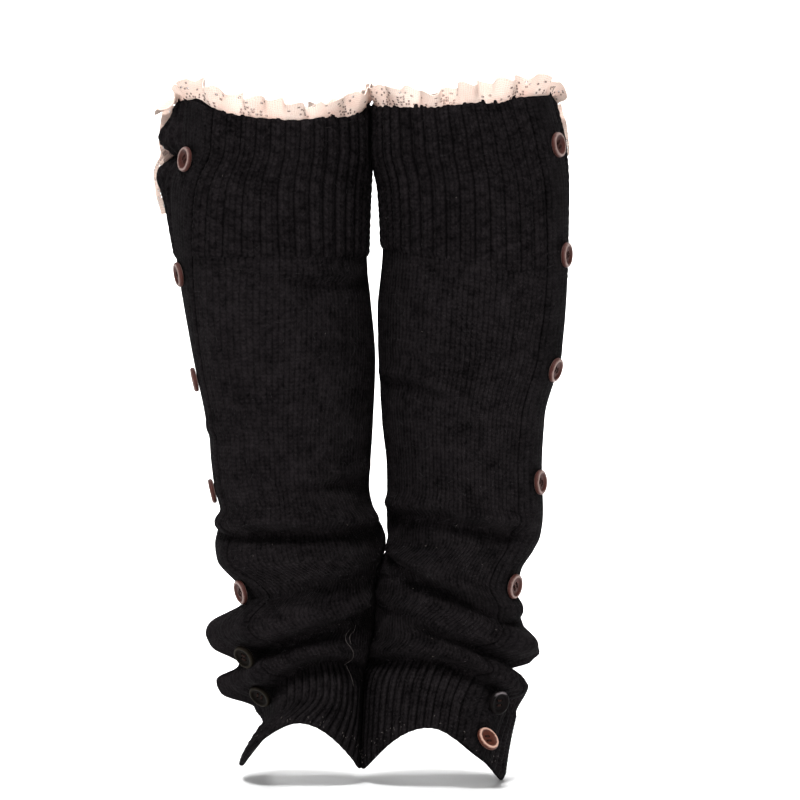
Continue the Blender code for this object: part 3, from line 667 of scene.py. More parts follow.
def wood_look(name, rim_colour, dish_colour, gloss=0.12, highlight_above=None):
    """Turned wood, stained dark in the dish and on the wall, and rubbed paler along the rim. A button in
    painted shade can instead get a painted highlight on the rim's upper part only."""
    look = Look(name, dish_colour, 0.42, gloss)
    place = look.object_place()
    apart = look.tree.nodes.new("ShaderNodeSeparateXYZ")
    look.feed(apart.inputs["Vector"], place)
    wide = look.math("MULTIPLY", apart.outputs["X"], apart.outputs["X"])
    deep = look.math("MULTIPLY", apart.outputs["Y"], apart.outputs["Y"])
    reach = look.math("SQRT", look.math("ADD", wide, deep))
    stretched = look.tree.nodes.new("ShaderNodeMapping")
    stretched.inputs["Scale"].default_value = (260.0, 1500.0, 260.0)
    look.feed(stretched.inputs["Vector"], place)
    grain = look.noise(stretched.outputs["Vector"], 1.0, 4.0, 0.65)
    spots = look.noise(place, 420.0, 3.0, 0.6)
    edge = look.math("MULTIPLY_ADD", look.math("SUBTRACT", grain, 0.5), 0.0011, reach)
    share = look.ramp(edge, RIM_INSIDE, 0.6)
    share = look.math("MULTIPLY", share, look.ramp(edge, RIM_OUTSIDE, -0.7))
    # Painted highlight: the pale rim is kept to its upper part, where light falls on it.
    if highlight_above is not None:
        share = look.math("MULTIPLY", share, look.ramp(apart.outputs["Y"], highlight_above, 1.5))
    worn = look.mix(grain, shaded(rim_colour, 0.62), rim_colour)
    dark = look.mix(spots, shaded(dish_colour, 0.5), dish_colour)
    look.coloured(look.mix(share, dark, worn))
    look.feed(look.shader.inputs["Roughness"], look.math("MULTIPLY_ADD", grain, 0.25, 0.38))
    look.bumped(grain, 0.25, 0.0003)
    return look.made


def plain_look(name, colour, roughness, specular=0.3):
    look = Look(name, colour, roughness, specular)
    place = look.object_place()
    speckle = look.noise(place, 1800.0, 2.0, 0.6)
    look.coloured(look.mix(speckle, shaded(colour, 0.6), shaded(colour, 1.5)))
    return look.made


KNIT_DARK = (0.0008, 0.0006, 0.0007, 1.0)
KNIT_LIGHT = (0.0122, 0.0102, 0.0110, 1.0)
CABLE_WALES = 3
RIB_WALES = 2
KNIT = knit_look("black yarn, plain knit", KNIT_DARK, KNIT_LIGHT, 0.7, 0)
CABLE = knit_look("black yarn, cable rib", KNIT_DARK, KNIT_LIGHT, 0.6, CABLE_WALES, cabled=True)
RIB = knit_look("black yarn, narrow rib", KNIT_DARK, (0.0134, 0.0114, 0.0122, 1.0), 0.5, RIB_WALES, 7.0)
BAND_KNIT = knit_look("black yarn, button band", KNIT_DARK, (0.0108, 0.0092, 0.0099, 1.0), 0.7, 0)
LACE = lace_look()
RIM_INSIDE = 5.4
RIM_OUTSIDE = 7.3
DULL = 0.02
HIGHLIGHT_ABOVE = 4.4
WOOD = wood_look("dark stained wood", (0.275, 0.190, 0.170, 1.0), (0.060, 0.019, 0.015, 1.0))
PALE_WOOD = wood_look("stained wood, rubbed pale", (0.60, 0.37, 0.29, 1.0), (0.078, 0.022, 0.013, 1.0))
# Painted shade: wood made nearly black, for buttons that lie in the shade of a fold.
WOOD_IN_PAINTED_SHADE = wood_look("wood in painted shade", (0.016, 0.013, 0.009, 1.0), (0.004, 0.003, 0.002, 1.0), DULL)
# Painted shade and a painted highlight: wood made nearly black, with a pale rim on its upper part only.
HIGHLIT_SHADED_WOOD = wood_look("nearly black wood, rubbed above", (0.17, 0.15, 0.155, 1.0),
                      (0.005, 0.004, 0.004, 1.0), DULL, HIGHLIGHT_ABOVE)
THREAD = plain_look("brown sewing thread", (0.022, 0.011, 0.009, 1.0), 0.8, 0.05)
FIBRE = plain_look("loose black fibre", (0.018, 0.016, 0.017, 1.0), 0.8)
LINT = plain_look("pale lint", (0.115, 0.10, 0.095, 1.0), 0.8, 0.1)


# Cloth tubes

BAND_COLUMNS = 8


def cable_relief(cell, down, share):
    """Wide flat ribs with narrow grooves between them, each of two strands that cross over and under."""
    across = fraction(cell) - 0.5
    rib = np.floor(cell)
    turn = 2 * math.pi * (down / CABLE_REPEAT + 0.5 * fraction(rib * 0.5) + 0.13 * np.sin(rib * 2.4))
    turn = turn + 0.8 * np.sin(0.31 * down + 1.7 * rib)
    flat_top = np.clip(1 - np.abs(across / RIB_HALF_WIDTH) ** 6, 0, 1)
    strands = np.zeros_like(across + down)
    for strand in (1.0, -1.0):
        middle = strand * STRAND_SWING * np.cos(turn)
        over = 1.0 + strand * STRAND_LIFT * np.sin(turn)
        round_it = np.sqrt(np.clip(1 - ((across - middle) / STRAND_HALF_WIDTH) ** 2, 0, 1))
        strands = np.maximum(strands, over * round_it)
    return TOP_RIB_RISE * flat_top * (0.40 + 0.60 * strands) * (0.45 + 0.55 * share)


def wale_relief(cell, down, share):
    """The rounded back of each plain wale."""
    return WALE_RISE * (0.5 - 0.5 * np.cos(2 * math.pi * cell)) + 0 * down


def rib_relief(cell, down, share):
    """Narrow ribs, each one wale wide, with a slight swell at every course."""
    round_it = np.sqrt(np.clip(1 - ((fraction(cell) - 0.5) / 0.40) ** 2, 0, 1))
    swell = 1 + 0.10 * np.sin(2 * math.pi * down / COURSE_HEIGHT)
    return ANKLE_RIB_RISE * round_it * swell * (0.4 + 0.6 * share)


def rounded_edge(edge, beyond, normal, raised, reach, shoulder_reach, loops):
    """Two rows of points round an open edge: the middle of the wall there, and its outer shoulder."""
    tip = unit(edge - beyond)
    lift = 0.35 * raised + loops
    middle = edge - normal * BODY_WALL / 2 + tip * (reach + lift)
    shoulder = edge + normal * (0.45 * raised) + tip * (shoulder_reach + lift)
    return middle, shoulder


def stitch_grid(wale, down):
    """The stitch coordinates of a closed grid: wales round it and courses down it."""
    course = np.concatenate([down, down[:, :1]], axis=1) / COURSE_HEIGHT
    return np.stack([np.broadcast_to(wale, course.shape), course], axis=-1)


def tube_piece(cuff, name, levels, cells, points_a_cell, relief, wales_a_cell, look, top_open, foot_open):
    """A stretch of the cuff's tube as thin cloth: fine outside, plainer inside, rounded at an open edge."""
    band = np.linspace(-1, 1, BAND_COLUMNS + 1)[:-1]
    count = cells * points_a_cell
    places = np.concatenate([band, 1 + np.arange(count) / count])
    cell = np.concatenate([np.zeros(BAND_COLUMNS), np.arange(count) / points_a_cell])
    wale = np.concatenate([np.linspace(-BUTTON_BAND_WALES, 0, BAND_COLUMNS + 1)[:-1],
                           np.arange(count + 1) / points_a_cell * wales_a_cell])
    level = levels[:, None]
    direction = cuff.direction(level, places[None, :])
    flat = cuff.point(level, direction)
    down = down_the_cloth(flat)
    from_ends = np.minimum(down, down[-1:] - down)
    share = np.clip(from_ends / 3.0, 0, 1)
    raised = relief(cell[None, :], down, share)
    raised[:, :BAND_COLUMNS] = -0.3
    normal = cuff.normal(level, direction)
    outer = cuff.kept_apart(flat + normal * raised[..., None])
    outer_down = down
    if top_open:
        wide = raised.shape[1]
        loops = np.random.default_rng(51 + cuff.side).uniform(0, 1, wide // EDGE_LOOP_POINTS + 1)
        loops = EDGE_LOOP_RISE * np.repeat(loops**4, EDGE_LOOP_POINTS)[None, :wide, None]
        edge, shoulder = rounded_edge(flat[:1], flat[1:2], normal[:1], raised[:1, :, None], 1.0, 0.6, loops)
        outer = np.concatenate([edge, shoulder, outer])
        outer_down = np.concatenate([down[:1] - 2.4, down[:1] - 1.0, down])
    if foot_open:
        edge, shoulder = rounded_edge(flat[-1:], flat[-2:-1], normal[-1:], raised[-1:, :, None],
                                      0.8, 0.5, 0)
        outer = np.concatenate([outer, shoulder, edge])
        outer_down = np.concatenate([outer_down, down[-1:] + 1.0, down[-1:] + 2.4])
    outer = cuff.kept_apart(outer)

    starts = np.concatenate([np.arange(BAND_COLUMNS), BAND_COLUMNS + np.arange(cells) * points_a_cell])
    rows = np.linspace(0, len(levels) - 1, max(3, len(levels) // 3)).round().astype(int)
    inner_level = levels[np.unique(rows)][:, None]
    inner = cuff.moved_out(inner_level, cuff.direction(inner_level, places[starts][None, :]), -BODY_WALL)

    ends = np.append(starts, len(places))
    outer_stitch = stitch_grid(wale, outer_down)
    inner_stitch = stitch_grid(wale[ends], down_the_cloth(inner))
    shell = Shell()
    outside = shell.add_grid(outer, outer_stitch, closed=True, turned=False)
    inside = shell.add_grid(inner, inner_stitch, closed=True, turned=True)
    shell.add_rim(outside[0], inside[0], ends, outer_stitch[0], turned=False)
    shell.add_rim(outside[-1], inside[-1], ends, outer_stitch[-1], turned=True)
    made = shell.make(f"{cuff.name}_{name}_knit", cuff.side, look)
    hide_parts(f"{cuff.name}_{name}")
    round_it = np.concatenate([flat, flat[:, :1]], axis=1)
    girth = np.linalg.norm(np.diff(round_it, axis=1), axis=-1).sum(axis=1)
    return made, girth, down[-1].mean()


def band_piece(cuff):
    """The button band: a flat knitted strip with rounded edges, thinner at its top and foot."""
    levels = cuff.even_levels(0.0, HEM_LEVEL, 1.5)
    across = np.linspace(-1, 1, BUTTON_BAND_WALES * 4 + 1)
    level = levels[:, None]
    direction = cuff.direction(level, across[None, :])
    flat = cuff.point(level, direction)
    normal = cuff.normal(level, direction)
    down = down_the_cloth(flat)
    wale = (across + 1) / 2 * BUTTON_BAND_WALES
    rounded = (1 - across**6)[None, :] ** 0.5
    from_ends = np.minimum(down, down[-1:] - down)
    ends = np.sqrt(np.clip(from_ends / 2.0, 0, 1)) * 0.6 + 0.4
    ridge = 0.42 * (0.5 - 0.5 * np.cos(2 * math.pi * wale))[None, :]
    hems = 0.2 * hill(np.abs(across) - 0.82, 0.07)[None, :]
    height = SEAM_GAP + (BUTTON_BAND_WALL - 0.35 + ridge - hems) * rounded * ends
    outer = cuff.kept_apart(flat + normal * height[..., None])
    inner_columns = np.arange(0, len(across), 4)
    inner = flat[:, inner_columns] + normal[:, inner_columns] * SEAM_GAP * 0.9
    stitch = np.stack([np.broadcast_to(wale, down.shape), down / COURSE_HEIGHT], axis=-1)
    shell = Shell()
    outside = shell.add_grid(outer, stitch, closed=False, turned=False)
    inside = shell.add_grid(inner, stitch[:, inner_columns], closed=False, turned=True)
    shell.add_rim(outside[0], inside[0], inner_columns, stitch[0], turned=False)
    shell.add_rim(outside[-1], inside[-1], inner_columns, stitch[-1], turned=True)
    rows = np.arange(len(levels))
    shell.add_rim(outside[:, 0], inside[:, 0], rows, stitch[:, 0], turned=True)
    shell.add_rim(outside[:, -1], inside[:, -1], rows, stitch[:, -1], turned=False)
    made = shell.make(f"{cuff.name}_button_band_knit", cuff.side, BAND_KNIT)
    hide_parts(f"{cuff.name}_button_band")
    return made, down[-1].mean()


# Lace

EYELETS = {
    (3, 2): 1.0, (2, 3): 1.0, (4, 3): 1.0, (3, 4): 0.9,
    (2, 2): 0.75, (4, 2): 0.75, (2, 4): 0.65, (4, 4): 0.65,
    (0, 2): 0.8, (6, 2): 0.8, (7, 4): 0.7, (0, 5): 0.6, (3, 6): 0.6, (7, 6): 0.6, (5, 5): 0.5,
    (0, 1): 0.9, (1, 1): 0.8, (3, 1): 0.9, (5, 1): 0.9, (6, 1): 0.7,
}
EYELET_REPEAT = 8
EYELET_WIDE = 0.34
EYELET_TALL = 0.30


def eyelet_pattern(columns, rows, chance):
    """Points and faces of a flat net of cells, some with an eyelet, in cells along and cells up, and
    which points lie on an eyelet's rim, where shade is painted. Stretches with many eyelets alternate with
    plainer ones."""
    lattice_wide = 2 * columns + 1
    lattice_tall = 2 * rows + 1
    points = [(i / 2, j / 2) for j in range(lattice_tall) for i in range(lattice_wide)]
    faces = []
    lattice = len(points)
    ring = ((0, 0), (1, 0), (2, 0), (2, 1), (2, 2), (1, 2), (0, 2), (0, 1))
    missing = chance.choice((0.1, 0.5, 0.85), columns // EYELET_REPEAT + 1)
    for column in range(columns):
        for row in range(rows):
            at = [(2 * row + dj) * lattice_wide + 2 * column + di for di, dj in ring]
            middle = (2 * row + 1) * lattice_wide + 2 * column + 1
            size = EYELETS.get((column % EYELET_REPEAT, row), 0.0)
            if size == 0.0 or chance.random() < missing[column // EYELET_REPEAT]:
                faces += [(at[0], at[1], middle, at[7]), (at[1], at[2], at[3], middle),
                          (middle, at[3], at[4], at[5]), (at[7], middle, at[5], at[6])]
                continue
            size = size * chance.uniform(0.75, 1.2)
            aside, above = chance.uniform(-0.1, 0.1, 2)
            first = len(points)
            for k in range(8):
                turn = math.pi * (k - 3) / 4
                points.append((column + 0.5 + aside + EYELET_WIDE * size * math.cos(turn),
                               row + 0.5 + above + EYELET_TALL * size * math.sin(turn)))
            faces += [(at[k], at[(k + 1) % 8], first + (k + 1) % 8, first + k) for k in range(8)]
    used = np.unique(np.array(faces))
    renumbered = np.zeros(len(points), dtype=int)
    renumbered[used] = np.arange(len(used))
    return np.array(points)[used], renumbered[np.array(faces)], (used >= lattice).astype(float)


def lace_piece(name, surface, columns, rows, cell_size, seed, node, side):
    """A lace sheet with its eyelets cut through, on a surface of shares along and up."""
    chance = np.random.default_rng(seed)
    flat, faces, rim_shade = eyelet_pattern(columns, rows, chance)
    along = flat[:, 0] / columns
    up = flat[:, 1] / rows
    step = 1e-3
    points = surface(along, up)
    run = surface(np.clip(along + step, 0, 1), up) - surface(np.clip(along - step, 0, 1), up)
    rise = surface(along, np.clip(up + 5 * step, 0, 1)) - surface(along, np.clip(up - 5 * step, 0, 1))
    normal = unit(np.cross(run, rise))
    half = LACE_WALL / 2
    shell = Shell()
    front = shell.add_points(points + normal * half)
    back = shell.add_points(points - normal * half)
    stitch = flat * np.array(cell_size)
    shell.add_faces(front[faces], stitch[faces])
    shell.add_faces(back[faces[:, ::-1]], stitch[faces[:, ::-1]])
    starts = faces.ravel()
    ends = np.roll(faces, -1, axis=1).ravel()
    key = starts * len(flat) + ends
    lonely = ~np.isin(key, ends * len(flat) + starts)
    starts = starts[lonely]
    ends = ends[lonely]
    walls = np.stack([front[ends], front[starts], back[starts], back[ends]], axis=-1)
    corners = stitch[np.stack([ends, starts, starts, ends], axis=-1)]
    shell.add_faces(walls, corners)
    made = shell.make(name, side, LACE)
    # The eyelet attribute carries the painted shade round each eyelet.
    made.data.attributes.new("eyelet", "FLOAT", "POINT").data.foreach_set("value", np.tile(rim_shade, 2))
    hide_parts(node)
    return made


def ruffle_piece(cuff):
    """The gathered lace that stands on the top edge and leans out in waves."""
    begin = cuff.direction(0.0, 1.0)

    def surface(along, up):
        direction = float(begin) + along * 2 * math.pi
        foot = cuff.moved_out(0.0, direction, -BODY_WALL / 2)
        out = np.stack([cuff.side * np.sin(direction), -np.cos(direction), 0 * direction], axis=-1)
        aside = np.stack([cuff.side * np.cos(direction), np.sin(direction), 0 * direction], axis=-1)
        phase = direction * LACE_WAVES + LACE_UNEVENNESS * np.sin(3 * direction) + cuff.side
        wave = LACE_WAVE_DEPTH * np.sin(phase) * up
        ripple = LACE_RIPPLE * np.sin(2.7 * phase + 1.0) * up**2
        picot = LACE_PICOT * (np.abs(np.sin(along * LACE_COLUMNS * math.pi / 4)) - 0.5) * up**4
        height = (LACE_HEIGHT + LACE_SCALLOP * np.sin(2 * phase)) * up + LACE_FOOT_GAP + picot
        height = height + lifted(direction, LACE_LIFTS[cuff.name]) * up**2
        spread = LACE_LEAN * LACE_HEIGHT * up + wave + ripple
        spread = spread + lifted(direction, LACE_TURNS[cuff.name]) * up**2
        swing = LACE_SWING * np.sin(2 * phase) * up
        grid = foot + out * spread[..., None] + aside * swing[..., None]
        grid[..., 2] = foot[..., 2] + height
        plane = CONTACT_SLOPE * grid[..., 1] + CONTACT_ACROSS[0] + cuff.side * (LACE_WALL + CONTACT_GAP) / 2
        limit = np.minimum if cuff.side < 0 else np.maximum
        grid[..., 0] = limit(grid[..., 0], plane)
        return grid

    return lace_piece(f"{cuff.name}_lace_ruffle", surface, LACE_COLUMNS, LACE_ROWS, LACE_CELL,
                      11 + cuff.side, f"{cuff.name}_lace", cuff.side)


def tail_piece(cuff):
    """The lace's end, turned down beside the button band's back edge, where it stands out."""
    tail = LACE_TAILS[cuff.name]
    direction = np.radians(tail["heading"])
    ends = cuff.point(np.array([tail["first_level"], tail["last_level"]]), direction)
    length = np.linalg.norm(ends[1] - ends[0])

    def surface(along, up):
        level = tail["first_level"] + along * (tail["last_level"] - tail["first_level"])
        stand = up * (1 - TAIL_NARROWING * along**2)
        ruffle = TAIL_WAVE_DEPTH * np.sin(2 * math.pi * along * length / TAIL_WAVE_LENGTH) * stand
        width = tail["width"] - TAIL_EVENS * cuff.bulge(level, direction)
        edge = cuff.moved_out(level, direction, TAIL_CLEARANCE + width * stand)
        aside = unit(cuff.point(level, direction + 0.05) - cuff.point(level, direction))
        return edge + aside * (ruffle + TAIL_ASIDE)[..., None]

    columns = round(length / TAIL_CELL[0])
    made = lace_piece(f"{cuff.name}_lace_tail_ruffle", surface, columns, TAIL_ROWS, TAIL_CELL,
                      21 + cuff.side, f"{cuff.name}_lace_tail", 1)
    return made, length


# Buttons

# Rings of a button from its back to its dish: share of its radius, and height
BUTTON_PROFILE = ((0.55, 0.0), (0.88, 0.2), (0.975, 0.8), (1.0, 1.5), (0.985, 2.2), (0.94, 2.8),
                  (0.87, 3.15), (0.79, 3.15), (0.71, 2.85), (0.65, 2.4), (0.60, 2.1), (0.52, 1.98),
                  (0.30, 1.95))
BUTTON_SIDES = 48
HOLE_RADIUS = 0.85
HOLE_OFFSET = 1.45
THREAD_RADIUS = 0.30
THREAD_TOP = 2.45
THREAD_DROP = 1.3
STRAND_ASIDE = 0.28


def turned_button():
    """A turned wooden button with four thread holes, its back on z = 0."""
    radius = BUTTON_DIAMETER / 2
    turns = np.arange(BUTTON_SIDES) * 2 * math.pi / BUTTON_SIDES
    circle = np.stack([np.cos(turns), np.sin(turns), 0 * turns], axis=-1)
    rings = [circle * (share * radius) + (0, 0, height) for share, height in BUTTON_PROFILE]
    points = np.concatenate(rings + [np.array([[0, 0, 0], [0, 0, BUTTON_PROFILE[-1][1]]])])
    faces = []
    for ring in range(len(rings) - 1):
        for side in range(BUTTON_SIDES):
            beside = (side + 1) % BUTTON_SIDES
            low, high = ring * BUTTON_SIDES, (ring + 1) * BUTTON_SIDES
            faces.append((low + side, low + beside, high + beside, high + side))
    last = (len(rings) - 1) * BUTTON_SIDES
    for side in range(BUTTON_SIDES):
        beside = (side + 1) % BUTTON_SIDES
        faces.append((len(points) - 2, beside, side))
        faces.append((len(points) - 1, last + side, last + beside))
    mesh = bpy.data.meshes.new("button")
    mesh.from_pydata((points * MM).tolist(), [], faces)
    disc = bpy.data.objects.new("button_disc", mesh)
    bpy.context.scene.collection.objects.link(disc)
    for x in (-HOLE_OFFSET, HOLE_OFFSET):
        for y in (-HOLE_OFFSET, HOLE_OFFSET):
            bpy.ops.mesh.primitive_cylinder_add(vertices=16, radius=HOLE_RADIUS * MM, depth=8 * MM,
                                                location=(x * MM, y * MM, 1 * MM))
            drill = bpy.context.object
            cut = disc.modifiers.new("hole", "BOOLEAN")
            cut.object = drill
            cut.operation = "DIFFERENCE"
            bpy.context.view_layer.update()
            solved = disc.evaluated_get(bpy.context.evaluated_depsgraph_get())
            cleared = bpy.data.meshes.new_from_object(solved)
            disc.modifiers.clear()
            disc.data = cleared
            bpy.data.objects.remove(drill)
    mesh = disc.data
    bpy.data.objects.remove(disc)
    mesh.shade_smooth()
    mesh.set_sharp_from_angle(angle=math.radians(45))
    return mesh


def tube_along(shell, line, radius, sides):
    """A thin round thread along a line of points, closed at its ends."""
    line = np.asarray(line, dtype=float)
    ahead = unit(np.gradient(line, axis=0))
    reference = np.array([0.0, 0.0, 1.0]) if abs(ahead[0, 2]) < 0.9 else np.array([1.0, 0.0, 0.0])
    first = unit(np.cross(ahead, reference))
    second = np.cross(ahead, first)
    turns = np.arange(sides) * 2 * math.pi / sides
    taper = np.ones(len(line))
    taper[[0, -1]] = 0.3
    rings = line[:, None] + radius * taper[:, None, None] * (
        first[:, None] * np.cos(turns)[None, :, None] + second[:, None] * np.sin(turns)[None, :, None])
    stitch = np.zeros((len(line), sides + 1, 2))
    index = shell.add_grid(rings, stitch, closed=True, turned=False)
    for ring, turned in ((index[0], False), (index[-1], True)):
        cap = np.array([[ring[0], ring[k], ring[k + 1]] for k in range(1, sides - 1)])
        shell.add_faces(cap[:, ::-1] if turned else cap, np.zeros((len(cap), 3, 2)))


def thread_mesh():
    """Thread through the four holes, two strands across from each hole to the one beside it."""
    shell = Shell()
    share = np.linspace(-1, 1, 9)
    for strand in (-STRAND_ASIDE, STRAND_ASIDE):
        for row in (-HOLE_OFFSET, HOLE_OFFSET):
            height = THREAD_TOP - THREAD_DROP * share**4 + 0.1 * strand
            line = np.stack([share * HOLE_OFFSET, row + strand + 0 * share, height], axis=-1)
            tube_along(shell, line, THREAD_RADIUS, 6)
    points = np.concatenate(shell.points)
    mesh = bpy.data.meshes.new("button_thread")
    mesh.from_pydata((points * MM).tolist(), [], shell.faces)
    mesh.shade_smooth()
    mesh.materials.append(THREAD)
    return mesh


def button_place(node, cuff):
    """The frame of a button, read from its solid: its middle back, with z out along its axis."""
    points = np.array([vertex.co[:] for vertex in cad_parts[node].data.vertices])
    middle = points.mean(axis=0)
    axes = np.linalg.svd(points - middle, full_matrices=False)[2]
    out = axes[2]
    home = np.array([cuff.side * 0.058, 0.0, middle[2]])
    if np.dot(out, middle - home) < 0:
        out = -out
    depth = (points - middle) @ out
    back = middle + out * depth.min()
    up = unit(np.array([0.0, 0.0, 1.0]) - out * out[2])
    beside = np.cross(up, out)
    turn = Matrix((beside, up, out)).transposed().to_4x4()
    return Matrix.Translation(Vector(back)) @ turn


# Buttons whose wood differs from the others. Left 6 and 7 are darkened as painted shade, right 6 is
# darkened as painted shade with a painted highlight on its upper rim, and right 7 has a paler rim.
ODD_WOODS = {"left_button_6": WOOD_IN_PAINTED_SHADE, "left_button_7": WOOD_IN_PAINTED_SHADE,
             "right_button_6": HIGHLIT_SHADED_WOOD, "right_button_7": PALE_WOOD}

# Buttons that tilt on their thread: degrees, and how far their middle is lifted by it
BUTTON_TILTS = {"left_button_1": (12, 0.8), "right_button_7": (-30, 2.2)}


def add_buttons(cuff, meshes, thread):
    chance = np.random.default_rng(31 + cuff.side)
    for number in range(1, 8):
        node = f"{cuff.name}_button_{number}"
        wood = ODD_WOODS.get(node, WOOD)
        # A button with a painted highlight above is not turned, so that the highlight stays on top.
        turn = chance.uniform(0, math.pi)
        spin = Matrix.Rotation(0 if wood is HIGHLIT_SHADED_WOOD else turn, 4, "Z")
        tilt, lift = BUTTON_TILTS.get(node, (0, 0))
        tilted = Matrix.Translation((0, 0, lift * MM)) @ Matrix.Rotation(math.radians(tilt), 4, "X")
        place = button_place(node, cuff) @ tilted @ spin
        button = placed(f"{node}_wood", meshes[wood.name], place)
        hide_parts(node)
        placed(f"{node}_thread", thread, place)


# Loose fibres

FUZZ_COUNT = 1300
FUZZ_RADIUS = 0.055
FUZZ_BEND = ((0.0, 0.0), (0.45, 0.35), (0.6, 1.0))
LINT_RADIUS = 0.12
HAIR_RADIUS = 0.07


def scattered(cuff, chance, level, stand, shortest, longest):
    """Feet round the cloth at these levels, the way out at each, a way along the cloth, and a length."""
    direction = chance.uniform(0, 2 * math.pi, len(level))
    foot = cuff.moved_out(level, direction, stand)
    out = cuff.normal(level, direction)
    along = unit(np.cross(out, chance.normal(size=(len(level), 3))))
    return foot, out, along, chance.uniform(shortest, longest, len(level))[:, None]


def fuzz_piece(cuff):
    """Short fibres that stand off the yarn all over the outside."""
    chance = np.random.default_rng(41 + cuff.side)
    level = chance.uniform(0.05, HEM_LEVEL - 0.05, FUZZ_COUNT)
    foot, out, lean, length = scattered(cuff, chance, level, 0.4, 1.5, 5.0)
    shell = Shell()
    for k in range(FUZZ_COUNT):
        line = [foot[k] + out[k] * length[k] * rise * 0.6 + lean[k] * length[k] * run
                for rise, run in FUZZ_BEND]
        tube_along(shell, line, FUZZ_RADIUS, 3)
    return shell.make(f"{cuff.name}_fuzz", 1, FIBRE)


LINT_AT_HEM = 70
LINT_ELSEWHERE = 30

# Two stray hairs by the left ankle: the level and the direction in degrees of each point
STRAY_HAIRS = (((15.3, -41), (15.7, -37), (16.1, -36), (16.7, -40), (17.2, -42), (17.6, -44)),
               ((15.1, -46), (15.5, -44), (15.8, -40), (16.2, -39)))


def lint_piece(cuff):
    """Pale specks of lint, most of them along the hem, and on the left cuff two stray hairs."""
    chance = np.random.default_rng(61 + cuff.side)
    level = np.concatenate([HEM_LEVEL - chance.uniform(0.02, 0.35, LINT_AT_HEM),
                            chance.uniform(0.3, HEM_LEVEL - 0.4, LINT_ELSEWHERE)])
    foot, _, along, length = scattered(cuff, chance, level, 2.0, 0.7, 1.6)
    shell = Shell()
    for k in range(len(level)):
        line = [foot[k] + along[k] * length[k] * s for s in (-0.5, 0.0, 0.5)]
        tube_along(shell, line, LINT_RADIUS, 4)
    if cuff.name == "left":
        for hair in STRAY_HAIRS:
            path = smooth_rows(hair, np.linspace(0, len(hair) - 1, 24))
            line = cuff.moved_out(path[:, 0], np.radians(path[:, 1]), 2.6)
            tube_along(shell, line, HAIR_RADIUS, 4)
    return shell.make(f"{cuff.name}_lint", 1, LINT)


# Build both cuffs


# The tubes of a cuff from the knee down: name, first and last level, how far apart its rows lie, ribs or
# wales round it, points across each, relief, wales in each, look, and whether its top and its foot are open
TUBES = (
    ("top_band", 0.0, SEAM_LEVEL, 0.9, TOP_RIBS, 12, cable_relief, CABLE_WALES, CABLE, True, False),
    ("body", SEAM_LEVEL, ANKLE_LEVEL, 1.7, BODY_WALES, 4, wale_relief, 1, KNIT, False, False),
    ("ankle_band", ANKLE_LEVEL, HEM_LEVEL, 0.9, ANKLE_RIBS, 8, rib_relief, RIB_WALES, RIB, False, True),
)


def build_cuff(name, side, sections, meshes, thread):
    """All pieces of one cuff."""
    cuff = Cuff(name, side, sections)
    for tube, first, last, spacing, *knit in TUBES:
        made, girth, length = tube_piece(cuff, tube, cuff.even_levels(first, last, spacing), *knit)
    strip, length = band_piece(cuff)
    ruffle = ruffle_piece(cuff)
    tail, length = tail_piece(cuff)
    add_buttons(cuff, meshes, thread)
    fuzz_piece(cuff)
    lint_piece(cuff)


def finished_button(look):
    mesh = turned_button()
    mesh.materials.clear()
    mesh.materials.append(look)
    return mesh


button_meshes = {look.name: finished_button(look) for look in (WOOD, PALE_WOOD, WOOD_IN_PAINTED_SHADE, HIGHLIT_SHADED_WOOD)}
button_thread = thread_mesh()
build_cuff("left", -1, LEFT_SECTIONS, button_meshes, button_thread)
build_cuff("right", 1, RIGHT_SECTIONS, button_meshes, button_thread)


# Floor, backdrop, lights and camera

FLOOR_HEIGHT = -0.3580
BACKDROP_REACH = 6.0
BEND_START = 4.0
BEND_RADIUS = 1.5

# Each light: where it stands, what it faces, how wide it is, and its power
LIGHTS = {
    "key": ((-0.5, -1.9, 2.8), (0, 0, -0.15), 1.0, 136),
    "fill": ((0.9, -3.0, 0.9), (0, 0, -0.15), 1.4, 20),
    "top": ((0.1, 0.3, 2.4), (0, 0, 0), 1.6, 30),
    "floor behind": ((0, 0.9, 2.6), (0, 2.6, -0.3), 2.5, 110),
    "wall": ((0, 3.0, 3.2), (0, 5.0, 0.0), 3.0, 300),
}


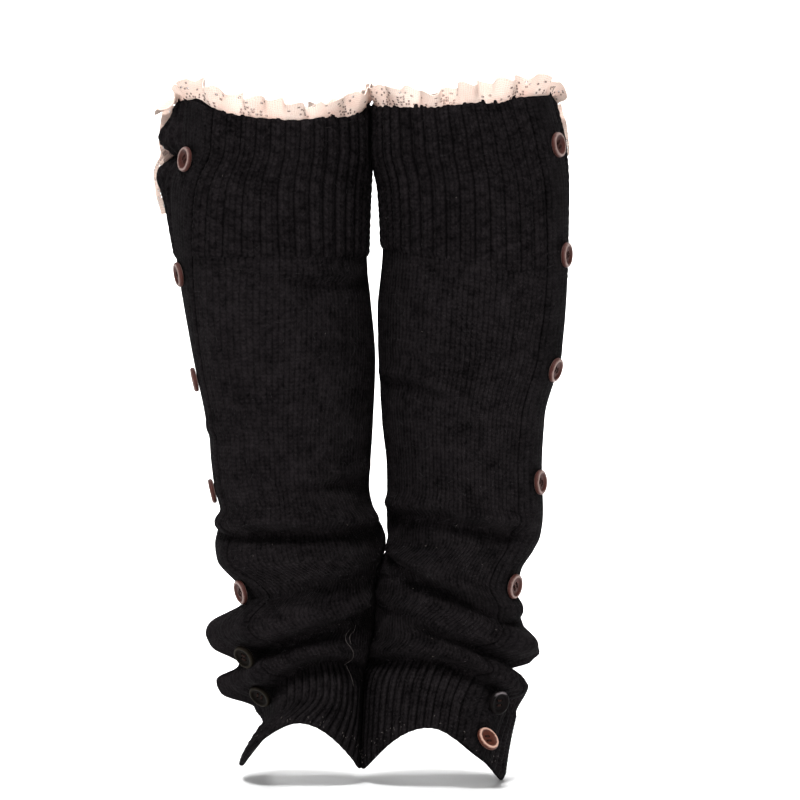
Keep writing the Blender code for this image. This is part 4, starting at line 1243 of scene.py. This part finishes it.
def add_backdrop():
    """A pale floor that curves up into a wall behind the cuffs."""
    curve = [(-BACKDROP_REACH, 0.0), (BEND_START, 0.0)]
    for turn in np.linspace(0.1, math.pi / 2, 14):
        back = BEND_START + BEND_RADIUS * math.sin(turn)
        curve.append((back, BEND_RADIUS - BEND_RADIUS * math.cos(turn)))
    curve.append((BEND_START + BEND_RADIUS, BACKDROP_REACH))
    points = [(x, y, FLOOR_HEIGHT + z) for y, z in curve for x in (-BACKDROP_REACH, BACKDROP_REACH)]
    faces = [(2 * k, 2 * k + 1, 2 * k + 3, 2 * k + 2) for k in range(len(curve) - 1)]
    mesh = bpy.data.meshes.new("backdrop")
    mesh.from_pydata(points, [], faces)
    mesh.shade_smooth()
    look = Look("pale backdrop", (0.93, 0.93, 0.93, 1.0), 0.9, 0.1)
    mesh.materials.append(look.made)
    made = bpy.data.objects.new("backdrop", mesh)
    bpy.context.scene.collection.objects.link(made)


def add_light(name, place, target, size, power):
    data = bpy.data.lights.new(name, "AREA")
    data.shape = "DISK"
    data.size = size
    data.energy = power
    made = bpy.data.objects.new(name, data)
    made.location = place
    made.rotation_euler = (Vector(target) - Vector(place)).to_track_quat("-Z", "Y").to_euler()
    bpy.context.scene.collection.objects.link(made)


add_backdrop()
for light_name, light in LIGHTS.items():
    add_light(light_name, *light)

world = bpy.data.worlds.new("soft studio")
world.use_nodes = True
world.node_tree.nodes["Background"].inputs["Color"].default_value = (1.0, 1.0, 1.0, 1.0)
world.node_tree.nodes["Background"].inputs["Strength"].default_value = 0.20
bpy.context.scene.world = world
bpy.context.scene.view_settings.view_transform = "Standard"

CAMERA_DISTANCE = 2.6
CAMERA_ELEVATION = math.radians(4)
CAMERA_TARGET = Vector((0.0174, 0.0, -0.129))
PICTURE_WIDTH = 0.48

camera_data = bpy.data.cameras.new("photo view")
camera_data.sensor_width = 36
camera_data.lens = 36 * CAMERA_DISTANCE / PICTURE_WIDTH
camera_data.clip_end = 30
camera = bpy.data.objects.new("camera", camera_data)
away = Vector((0, -math.cos(CAMERA_ELEVATION), math.sin(CAMERA_ELEVATION)))
camera.location = CAMERA_TARGET + away * CAMERA_DISTANCE
camera.rotation_euler = (-away).to_track_quat("-Z", "Y").to_euler()
bpy.context.scene.collection.objects.link(camera)
bpy.context.scene.camera = camera
